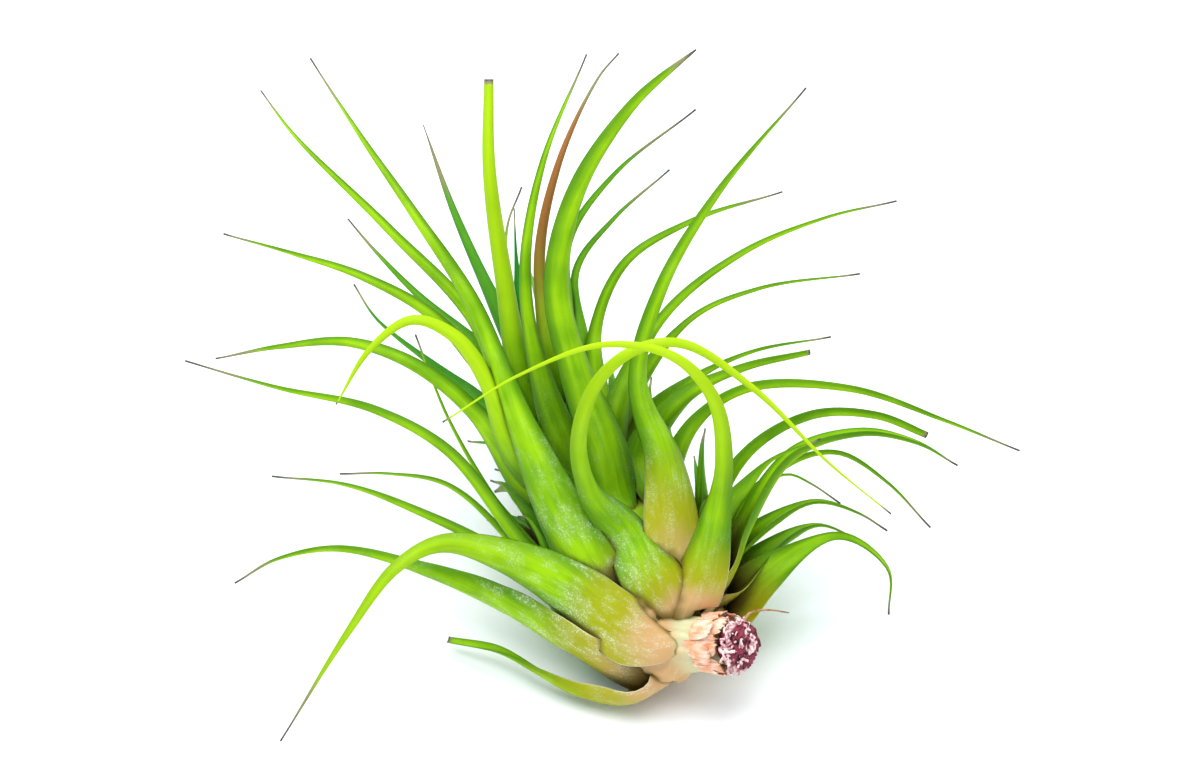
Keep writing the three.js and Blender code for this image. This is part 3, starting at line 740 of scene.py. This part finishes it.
def mark_cleft_shade(pieces):
    """Notes at each point how much of the air close to it leaves take up, from 0 to 1, as the measure of the
    painted shade in the clefts.
    """
    places = []
    faces = []
    for piece in pieces:
        first = len(places)
        places.extend(vertex.co for vertex in piece.data.vertices)
        faces.extend([first + corner for corner in face.vertices] for face in piece.data.polygons)
    around = BVHTree.FromPolygons(places, faces)
    spread = [
        (math.sqrt((ray + 0.5) / CLEFT_RAYS), ray * GOLDEN_ANGLE) for ray in range(CLEFT_RAYS)
    ]
    for piece in pieces:
        mesh = piece.data
        closed = [0.0] * len(mesh.vertices)
        for vertex in mesh.vertices:
            up = vertex.normal
            side = up.orthogonal().normalized()
            front = up.cross(side)
            start = vertex.co + up * CLEFT_START
            for reach, turn in spread:
                flat = side * math.cos(turn) + front * math.sin(turn)
                way = flat * reach + up * math.sqrt(1 - reach * reach)
                distance = around.ray_cast(start, way, CLEFT_REACH)[3]
                if distance is not None:
                    closed[vertex.index] += (1 - distance / CLEFT_REACH) / CLEFT_RAYS
        for _ in range(CLEFT_BLUR):
            total = list(closed)
            count = [1] * len(closed)
            for edge in mesh.edges:
                a, b = edge.vertices
                total[a] += closed[b]
                total[b] += closed[a]
                count[a] += 1
                count[b] += 1
            closed = [value / number for value, number in zip(total, count)]
        mesh.attributes.new("cleft_shade", "FLOAT", "POINT").data.foreach_set("value", closed)


# Measures that each point of a leaf keeps for the leaf's material: place is (across, along, from the
# neck) in millimetres, edge (across, along, sheath) in shares, look (frost, sun, painted shade) and age
# (dry, bronze, a draw of its own).
LAYER_KEYS = ("place", "edge", "look", "age")


def leaf_layers(bm):
    return {key: bm.verts.layers.float_vector.new(f"leaf_{key}") for key in LAYER_KEYS}


def tube_along(bm, points, size_at, sides, stations):
    """Adds a round tube through the points, and gives (vertex, share of the length, turn) for each."""
    path, _ = smooth_curve(points, stations)
    face = square_to(Vector((0.31, 0.22, 0.93)), tangent_at(path, 0))
    rows = stations + 2
    grid = bmesh.ops.create_grid(bm, x_segments=sides, y_segments=rows, size=0.5)
    faces = []
    for station in range(stations + 1):
        face = square_to(face, tangent_at(path, station))
        faces.append(face)
    placed = []
    for vert in grid["verts"]:
        turn = (vert.co.x + 0.5) * 2 * math.pi
        row = round((vert.co.y + 0.5) * rows)
        station = clamp(row - 1, 0, stations)
        share = station / stations
        size = 0 if row in (0, rows) else size_at(share, turn)
        vert.co = path[station] + turned(faces[station], tangent_at(path, station), turn) * size
        placed.append((vert, share, turn))
    return placed


def close_seams(bm):
    bmesh.ops.remove_doubles(bm, verts=bm.verts, dist=MERGED)


def core_radius(share):
    """Radius of the core at a share of its length."""
    last = CORE_PROFILE[0]
    for after in CORE_PROFILE:
        if share <= after[0]:
            return mix(last[1], after[1], smoothstep(share, last[0] - 1e-6, after[0])) * MM
        last = after
    return last[1] * MM


def make_core(material):
    """The bulb's core and the neck. It shows in the clefts, and the outer sheaths grow from it."""
    bm = bmesh.new()
    layers = leaf_layers(bm)
    middle = [point_on_stub(distance * MM) for distance in CORE_ON_STUB]
    middle += [point_on_stem(distance * MM) for distance in CORE_ON_STEM]

    def folded(share, turn):
        fold = noise.noise(Vector((CORE_FOLDS * math.cos(turn), CORE_FOLDS * math.sin(turn), 2 * share)))
        return core_radius(share) + CORE_FOLD_DEPTH * fold * smoothstep(share, *CORE_FOLDS_FADE)

    for vert, share, turn in tube_along(bm, middle, folded, CORE_SIDES, CORE_STEPS):
        vert.co.z = max(vert.co.z, FLOOR_TOUCH)
        from_neck = (vert.co - point_on_stub(PALEST_ON_STUB)).length
        across = core_radius(share) * (turn - math.pi)
        vert[layers["place"]] = (across / MM, share * CORE_LENGTH / MM, from_neck / CORE_BLUSH / MM)
        vert[layers["edge"]] = (0, 0, 1)
        vert[layers["look"]] = (CORE_FROST, 0, CORE_PAINTED_SHADE)
        vert[layers["age"]] = (TIP_DRY, 0, 0)
    close_seams(bm)
    return finish_piece(bm, "core", "leaf_rosette", material)


def scale_sheet(bm, layer, index):
    """A papery scale: a thin sheet bent round the neck, creased lengthwise, its free end torn."""
    middle = index * GOLDEN_ANGLE
    end = COLLAR_END - SCALE_ENDS * draw(index + 7)
    start = COLLAR_START + SCALE_STARTS * (draw(index + 17) - 0.4)
    lift = SCALE_LIFT * ((index % SCALE_LAYERS) / (SCALE_LAYERS - 1))
    width = SCALE_WIDTH * (0.75 + 0.6 * draw(index + 3))
    columns = SCALE_COLUMNS
    rows = SCALE_ROWS
    grid = bmesh.ops.create_grid(bm, x_segments=2 * columns, y_segments=rows, size=0.5)
    for vert in grid["verts"]:
        column = round((vert.co.x + 0.5) * 2 * columns)
        row = round((vert.co.y + 0.5) * rows)
        inner = column > columns
        across = 2 * (2 * columns - column if inner else column) / columns - 1
        along = clamp((row - 1) / (rows - 2), 0, 1)
        tear = noise.noise(Vector((5 * across, 7 * index, 0)))
        torn = 1 - SCALE_TEAR * (0.5 + 0.5 * tear) - SCALE_ROUNDING * across * across
        reach = mix(start + SCALE_ROOT * across * across * draw(index + 23), end, along * torn)
        narrow = 1 - 0.3 * along * along
        turn = middle + across * narrow * width / 2 / (NECK_RADIUS + SCALE_MIDDLE)
        crease = noise.noise(Vector((across * 3.5 + 5 * index, along * 0.8, 1.3 * index)))
        fray = noise.noise(Vector((across * 9, along * 3, 2.1 * index))) * along
        out = NECK_RADIUS + SCALE_GAP + lift * (0.4 + 0.6 * along)
        out += SCALE_CREASE * (1 + crease)
        out += SCALE_FRAY * fray
        out += SCALE_FLARE * along * along * draw(index + 31)
        edge = min(1 - abs(across), 1) ** 0.5 if 0 < row < rows else 0
        out += (-0.5 if inner else 0.5) * SCALE_THICKNESS * edge
        vert.co = point_on_stub(reach) + out_from_stub(turn) * out
        vert[layer] = (across * width / 2 / MM, reach / MM, draw(index + 61))
    bmesh.ops.remove_doubles(bm, verts=grid["verts"], dist=2 * MERGED)


def make_collar(material):
    bm = bmesh.new()
    layer = bm.verts.layers.float_vector.new("scale_place")
    for index in range(SCALES):
        scale_sheet(bm, layer, index)
    return finish_piece(bm, "papery_collar", "dry_collar", material)


def make_pith(material):
    """The crumbly cut end that the wiry roots stand in."""
    bm = bmesh.new()
    bmesh.ops.create_icosphere(bm, subdivisions=5, radius=1)
    for vert in bm.verts:
        unit = vert.co.normalized()
        along = unit.z
        crumb = noise.noise(unit * 3.1) + 0.5 * noise.noise(unit * 9) + 0.25 * noise.noise(unit * 21)
        radius = PITH_RADIUS + PITH_CRUMB * crumb
        reach = mix(STUB_END, STUB_END + PITH_DOME if along > 0 else STUB_START, abs(along))
        spread = math.sqrt(max(1 - along * along, 0))
        if spread > 1e-6:
            out = (STUB_TOP * unit.x + STUB_SIDE * unit.y).normalized() * radius * spread ** 0.5
            vert.co = point_on_stub(reach + PITH_CRUMB * crumb * max(along, 0)) + out
        else:
            vert.co = point_on_stub(reach)
    return finish_piece(bm, "crumbly_pith", "stem_stub", material)


def make_wiry_roots(material):
    """A tuft of short clipped roots that lean outwards and curl."""
    bm = bmesh.new()
    for index in range(WIRY_ROOTS):
        share = math.sqrt((index + 0.5) / WIRY_ROOTS)
        out = out_from_stub(index * GOLDEN_ANGLE)
        foot = point_on_stub(STUB_END - WIRY_ROOT_FALL * share * share - WIRY_ROOT_SINK)
        foot += out * (WIRY_ROOT_SPREAD * share * PITH_RADIUS)
        lean = STUB_HEADING + out * (share * share * WIRY_ROOT_LEAN * (0.4 + draw(index + 20)))
        lean += STUB_SIDE * (draw(index + 90) - 0.5) + STUB_TOP * (draw(index + 33) - 0.5)
        lean.normalize()
        reach = WIRY_ROOT_REACH * (0.55 + 0.6 * draw(index + 40)) * mix(1, 0.75, share)
        aside = Vector((draw(index) - 0.5, draw(index + 5) - 0.5, draw(index + 9) - 0.5))
        curl_side = square_to(aside, lean)
        curl_top = lean.cross(curl_side)
        points = []
        for step in range(5):
            along = step / 4
            turn = 2 * math.pi * (draw(index + 2) + along * mix(0.4, 1.1, draw(index + 8)))
            bend = (curl_side * math.cos(turn) + curl_top * math.sin(turn)) * WIRY_ROOT_CURL * along
            points.append(foot + lean * reach * along + bend)
        radius = WIRY_ROOT_RADIUS * (0.7 + 0.7 * draw(index + 70))
        tube_along(bm, points, lambda share, turn: radius * mix(1, 0.6, share), 5, 8)
    close_seams(bm)
    return finish_piece(bm, "wiry_roots", "stem_stub", material)


def make_dried_root(material):
    bm = bmesh.new()
    points = [point_on_stub(STUB_END - 1 * MM), *(from_view(point) for point in DRIED_ROOT)]
    tube_along(bm, points, lambda share, turn: DRIED_ROOT_RADIUS * mix(1, 0.35, share), 8, 30)
    close_seams(bm)
    return finish_piece(bm, "dried_root", "stem_stub", material)


def to_linear(code):
    """An sRGB hex colour as the linear colour that the shaders work in."""
    parts = [int(code[at:at + 2], 16) / 255 for at in (1, 3, 5)]
    return (*(part / 12.92 if part <= 0.04045 else ((part + 0.055) / 1.055) ** 2.4 for part in parts), 1.0)


def add_node(tree, kind, links=None, **settings):
    """Adds a node with its settings. Links gives each input socket a value, an output to join, or a node
    that is joined by its first output."""
    node = tree.nodes.new(kind)
    for name, value in settings.items():
        setattr(node, name, value)
    for socket, source in (links or {}).items():
        if isinstance(source, bpy.types.Node):
            source = source.outputs[0]
        if isinstance(source, bpy.types.NodeSocket):
            tree.links.new(source, node.inputs[socket])
        else:
            node.inputs[socket].default_value = source
    return node


# Socket numbers of a Mix node that is set to colours.
MIX_UNDER = 6
MIX_OVER = 7
MIX_RESULT = 2


def finish_shader(tree, shader, colour, relief, strength, depth):
    """Joins the colour to the shader, and the relief as a bump of that depth."""
    bump = add_node(tree, "ShaderNodeBump", {"Strength": strength, "Distance": depth, "Height": relief})
    tree.links.new(colour, shader.inputs["Base Color"])
    tree.links.new(bump.outputs[0], shader.inputs["Normal"])


def new_material(name, **shader_values):
    """A material with one shader, whose sockets get the given constants."""
    material = bpy.data.materials.new(name)
    material.use_nodes = True
    tree = material.node_tree
    shader = tree.nodes["Principled BSDF"]
    for socket, value in shader_values.items():
        shader.inputs[socket.replace("_", " ")].default_value = value
    return material, tree, shader


def leaf_material():
    """Fresh bromeliad leaf with a waxy skin: lengthwise streaks of green, a base that pales through olive
    and peach to cream, silvery scales as a fine speckle, thin cream margins and tips that have dried.
    Painted shade darkens the margins, the leaves at the back and underneath, and the clefts, and painted
    light helps lighten the yellowed outer half."""
    material, tree, shader = new_material(
        "waxy_leaf", Roughness=0.5, IOR=1.45, Subsurface_Weight=0.08, Subsurface_Scale=0.5 * MM)
    shader.inputs["Specular IOR Level"].default_value = 0.2
    shader.inputs["Subsurface Radius"].default_value = (0.7, 1.0, 0.2)
    parts = {}
    for key in LAYER_KEYS:
        source = add_node(tree, "ShaderNodeAttribute", attribute_name=f"leaf_{key}")
        parts[key] = add_node(tree, "ShaderNodeSeparateXYZ", {0: source.outputs["Vector"]}).outputs
    across_mm, along_mm, from_neck = parts["place"]
    across, along, sheath = parts["edge"]
    frost, sun, painted_shade = parts["look"]
    dry, bronze, seed = parts["age"]

    where = add_node(tree, "ShaderNodeTexCoord").outputs["Object"]
    lengthwise = add_node(tree, "ShaderNodeCombineXYZ", {0: across_mm, 1: along_mm, 2: seed})
    # Streaks are about 1 mm wide and 15 mm long, blotches about 6 mm across.
    streak_place = add_node(tree, "ShaderNodeMapping", {"Vector": lengthwise, "Scale": (1.1, 0.07, 1)})
    streaks = add_node(tree, "ShaderNodeTexNoise", {
        "Vector": streak_place, "Scale": 1.0, "Detail": 3.0, "Roughness": 0.6})
    blotches = add_node(tree, "ShaderNodeTexNoise", {
        "Vector": where, "Scale": 1 / (6 * MM), "Detail": 2.0})
    tone = add_node(tree, "ShaderNodeMath", {0: streaks, 1: blotches}, operation="ADD")
    greens = add_node(tree, "ShaderNodeMapRange", {
        "Value": tone, "From Min": 0.75, "From Max": 1.25})
    colour = add_node(tree, "ShaderNodeMix", {
        0: greens, MIX_UNDER: to_linear(LEAF_GREEN), MIX_OVER: to_linear(LEAF_BRIGHT)}, data_type="RGBA")

    # Silvery scales are really 0.1 mm across. They are drawn 0.3 mm across, so that the render shows
    # them, and they lie in patches about 2 mm wide and 5 mm long, mostly on the sheath.
    scale_cells = add_node(tree, "ShaderNodeTexVoronoi", {
        "Vector": lengthwise, "Scale": 1 / 0.3, "Randomness": 1.0})
    scale_dots = add_node(tree, "ShaderNodeMapRange", {
        "Value": scale_cells, "From Min": 0.5, "From Max": 0.2})
    film_place = add_node(tree, "ShaderNodeMapping", {"Vector": lengthwise, "Scale": (0.6, 0.22, 1)})
    film = add_node(tree, "ShaderNodeTexNoise", {
        "Vector": film_place, "Scale": 1.0, "Detail": 5.0, "Roughness": 0.65})
    frost_patches = add_node(tree, "ShaderNodeMapRange", {"Value": film, "From Min": 0.46, "From Max": 0.7})
    frost_place = add_node(tree, "ShaderNodeMapRange", {"Value": sheath, "To Min": 0.1, "To Max": 1.0})
    frosted = add_node(tree, "ShaderNodeMapRange", {"Value": scale_dots, "To Min": 0.2, "To Max": 1.0})
    for share in (frost_patches, frost_place, frost):
        frosted = add_node(tree, "ShaderNodeMath", {0: frosted, 1: share}, operation="MULTIPLY")

    # The pale base and the dried tip have edges that the blotches and the streaks make uneven.
    rim = add_node(tree, "ShaderNodeMath", {0: across}, operation="ABSOLUTE")
    wander = add_node(tree, "ShaderNodeMath", {0: blotches, 1: 4.0, 2: -2.0}, operation="MULTIPLY_ADD")
    from_base = add_node(tree, "ShaderNodeMath", {0: from_neck, 1: wander}, operation="ADD")
    to_tip = add_node(tree, "ShaderNodeMath", {0: 1.0, 1: along}, operation="SUBTRACT")
    tip_shares = add_node(tree, "ShaderNodeMath", {0: to_tip, 1: dry}, operation="DIVIDE")
    ragged = add_node(tree, "ShaderNodeMath", {0: streaks, 1: tip_shares}, operation="ADD")
    cleft_shade = add_node(tree, "ShaderNodeAttribute", attribute_name="cleft_shade").outputs["Fac"]

    # Shares that rise smoothly with a measure, as (name, measure, where nil, where full, how full).
    shares = dict(painted_shade=painted_shade, frost=frosted)
    for name, measure, nil, full, most in (
        # The rim share darkens the green towards the margins as painted shade, where a curled leaf turns
        # from the light.
        ("rim", rim, 0.3, 0.95, 0.75),
        ("margin", rim, 0.95, 1.0, 0.7),
        ("outer_half", along, 0.2, 0.6, 1.0),
        ("olive", from_base, *OLIVE_BAND, 1.0),
        ("peach", from_base, *PEACH_BAND, 1.0),
        ("cream", from_base, *CREAM_BAND, 1.0),
        ("dried", ragged, 1.8, 1.2, 1.0),
        ("withered", ragged, 1.1, 0.6, 1.0),
        # The two cleft shares are painted shade where leaves close in round a point.
        ("cleft_shade", cleft_shade, 0.22, 0.7, 0.9),
        ("deep_cleft_shade", cleft_shade, 0.5, 0.85, 0.85),
    ):
        shares[name] = add_node(tree, "ShaderNodeMapRange", {
            "Value": measure, "From Min": nil, "From Max": full, "To Max": most},
            interpolation_type="SMOOTHSTEP")
    # Painted shade in the clefts turns brown on the base and on the sheaths, where the plant also has a real
    # brown flush.
    flush = add_node(tree, "ShaderNodeMath", {0: sheath, 1: 0.3, 2: 0.4}, operation="MULTIPLY_ADD")
    browning = add_node(tree, "ShaderNodeMath", {0: shares["olive"], 1: flush}, operation="MAXIMUM")
    for name, first, second in (
        # The outer half is yellowed, and lightened partly as painted light.
        ("yellowed_and_lit", sun, shares["outer_half"]),
        ("bronzed", bronze, shares["outer_half"]),
        ("cream_margin", shares["margin"], shares["olive"]),
        ("brown_cleft_shade", shares["cleft_shade"], browning),
    ):
        shares[name] = add_node(tree, "ShaderNodeMath", {0: first, 1: second}, operation="MULTIPLY")

    # Painted shade darkens the margins, leaves at the back and underneath, and the clefts; the yellow of the
    # outer half is partly painted light.
    for name, code in (
        ("rim", LEAF_EDGE_SHADE),
        ("yellowed_and_lit", LEAF_YELLOWED_AND_LIT),
        ("painted_shade", LEAF_SHADE_GREEN),
        ("bronzed", LEAF_BRONZE),
        ("olive", BASE_OLIVE),
        ("peach", BASE_PEACH),
        ("cream", BASE_CREAM),
        ("frost", SCALE_SILVER),
        ("cream_margin", MARGIN_CREAM),
        ("cleft_shade", CLEFT_SHADE_GREEN),
        ("brown_cleft_shade", CLEFT_SHADE_BROWN),
        ("deep_cleft_shade", CLEFT_SHADE_DARK),
        ("dried", TIP_TAN),
        ("withered", TIP_GREY),
    ):
        colour = add_node(tree, "ShaderNodeMix", {
            0: shares[name], MIX_UNDER: colour.outputs[MIX_RESULT], MIX_OVER: to_linear(code)},
            data_type="RGBA")

    # Veins run lengthwise, about 0.4 mm apart, under the scales.
    vein_place = add_node(tree, "ShaderNodeMapping", {"Vector": lengthwise, "Scale": (2.5, 0.05, 1)})
    veins = add_node(tree, "ShaderNodeTexNoise", {
        "Vector": vein_place, "Scale": 1.0, "Detail": 1.0})
    relief = add_node(tree, "ShaderNodeMath", {0: frosted, 1: 0.6, 2: veins}, operation="MULTIPLY_ADD")
    finish_shader(tree, shader, colour.outputs[MIX_RESULT], relief, 0.5, 0.12 * MM)
    return material


def collar_material():
    """Dry papery sheath remains: matt peach and cream, with brown fibres that run lengthwise."""
    material, tree, shader = new_material(
        "dry_paper_sheath", Roughness=0.85, IOR=1.5, Subsurface_Weight=0.1, Subsurface_Scale=0.5 * MM)
    source = add_node(tree, "ShaderNodeAttribute", attribute_name="scale_place")
    where = add_node(tree, "ShaderNodeTexCoord").outputs["Object"]
    # Fibres are about 0.3 mm wide and 3 mm long, patches about 1.5 mm across.
    fibre_place = add_node(tree, "ShaderNodeMapping", {
        "Vector": source.outputs["Vector"], "Scale": (3.0, 0.35, 7.0)})
    fibres = add_node(tree, "ShaderNodeTexNoise", {
        "Vector": fibre_place, "Scale": 1.0, "Detail": 4.0})
    fibre_share = add_node(tree, "ShaderNodeMapRange", {"Value": fibres, "From Min": 0.55, "From Max": 0.75})
    patches = add_node(tree, "ShaderNodeTexNoise", {
        "Vector": where, "Scale": 1 / (1.5 * MM), "Detail": 3.0})
    patch_share = add_node(tree, "ShaderNodeMapRange", {"Value": patches, "From Min": 0.4, "From Max": 0.65})
    ground = add_node(tree, "ShaderNodeMix", {
        0: patch_share, MIX_UNDER: to_linear(PAPER_PEACH), MIX_OVER: to_linear(PAPER_CREAM)},
        data_type="RGBA")
    colour = add_node(tree, "ShaderNodeMix", {
        0: fibre_share, MIX_UNDER: ground.outputs[MIX_RESULT], MIX_OVER: to_linear(PAPER_BROWN)},
        data_type="RGBA")
    finish_shader(tree, shader, colour.outputs[MIX_RESULT], fibres, 0.6, 0.15 * MM)
    return material


def root_material(name, dark, middle, pale, grain):
    """Dead root fibre, dry and matt: mottled from dark to pale in flecks about as large as the grain."""
    material, tree, shader = new_material(name, Roughness=0.8, IOR=1.5)
    where = add_node(tree, "ShaderNodeTexCoord").outputs["Object"]
    tones = add_node(tree, "ShaderNodeTexNoise", {
        "Vector": where, "Scale": 1 / grain, "Detail": 4.0, "Roughness": 0.7})
    ramp = add_node(tree, "ShaderNodeValToRGB", {0: tones})
    stops = ramp.color_ramp.elements
    stops[0].position = 0.32
    stops[0].color = to_linear(dark)
    stops[1].position = 0.54
    stops[1].color = to_linear(pale)
    stops.new(0.42).color = to_linear(middle)
    finish_shader(tree, shader, ramp.outputs[0], tones, 0.6, 0.1 * MM)
    return material


def make_stage():
    """A surface of white paper with a faint grain, a white surround and a large soft light."""
    bm = bmesh.new()
    bmesh.ops.create_grid(bm, x_segments=1, y_segments=1, size=FLOOR_SIZE / 2)
    material, tree, shader = new_material("white_paper_floor", Roughness=0.9)
    where = add_node(tree, "ShaderNodeTexCoord").outputs["Object"]
    grain = add_node(tree, "ShaderNodeTexNoise", {"Vector": where, "Scale": 1 / (2 * MM)})
    paper = add_node(tree, "ShaderNodeMix", {
        0: grain, MIX_UNDER: to_linear(FLOOR_COOL), MIX_OVER: to_linear(FLOOR_WHITE)},
        data_type="RGBA")
    tree.links.new(paper.outputs[MIX_RESULT], shader.inputs["Base Color"])
    floor = object_from(bm, "floor", material)

    world = bpy.data.worlds.new("white_surround")
    world.use_nodes = True
    bpy.context.scene.world = world
    background = world.node_tree.nodes["Background"]
    background.inputs["Color"].default_value = to_linear(SURROUND_COLOUR)
    background.inputs["Strength"].default_value = SURROUND_STRENGTH
    light = bpy.data.lights.new("key_softbox", "AREA")
    light.size = SOFTBOX_SIZE
    light.energy = SOFTBOX_POWER
    lamp = add_object("key_softbox", light)
    lamp.location = SOFTBOX_PLACE
    lamp.rotation_euler = (CAMERA_TARGET - SOFTBOX_PLACE).to_track_quat("-Z", "Y").to_euler()


def make_camera():
    camera = bpy.data.cameras.new("camera")
    camera.lens = CAMERA_LENS
    holder = add_object("camera", camera)
    towards = Vector((0, math.cos(VIEW_ANGLE), -math.sin(VIEW_ANGLE)))
    holder.location = CAMERA_TARGET - towards * CAMERA_DISTANCE
    holder.rotation_euler = towards.to_track_quat("-Z", "Y").to_euler()
    bpy.context.scene.camera = holder


make_camera()
make_stage()
leaf = leaf_material()
foliage = []
for name, leaves, first_seed in (
    ("front_leaves", measured(FRONT_LEAVES), 0),
    ("upper_left_leaves", measured(UPPER_LEFT_LEAVES), 10),
    ("top_leaves", measured(TOP_LEAVES), 30),
    ("right_leaves", measured(RIGHT_LEAVES), 50),
    ("left_leaves", measured(LEFT_LEAVES), 70),
    ("underside_leaves", hidden_leaves(UNDERSIDE), 100),
    ("far_side_leaves", hidden_leaves(FAR_SIDE), 130),
    ("left_side_leaves", hidden_leaves(LEFT_SIDE), 160),
):
    foliage.append(make_leaves(name, leaves, first_seed, leaf))
foliage.append(make_core(leaf))
mark_cleft_shade(foliage)
make_collar(collar_material())
make_pith(root_material("maroon_pith", ROOT_DARK, ROOT_DARK, ROOT_MAROON, 1.1 * MM))
make_wiry_roots(root_material("wiry_root_bark", ROOT_MAROON, ROOT_MAUVE, ROOT_PINK, 0.9 * MM))
make_dried_root(root_material("dried_root_bark", DRIED_DARK, DRIED_BROWN, DRIED_TAN, 1.5 * MM))

bpy.context.scene.view_settings.view_transform = "Standard"
bpy.context.scene.view_settings.look = "Medium High Contrast"
bpy.context.view_layer.update()
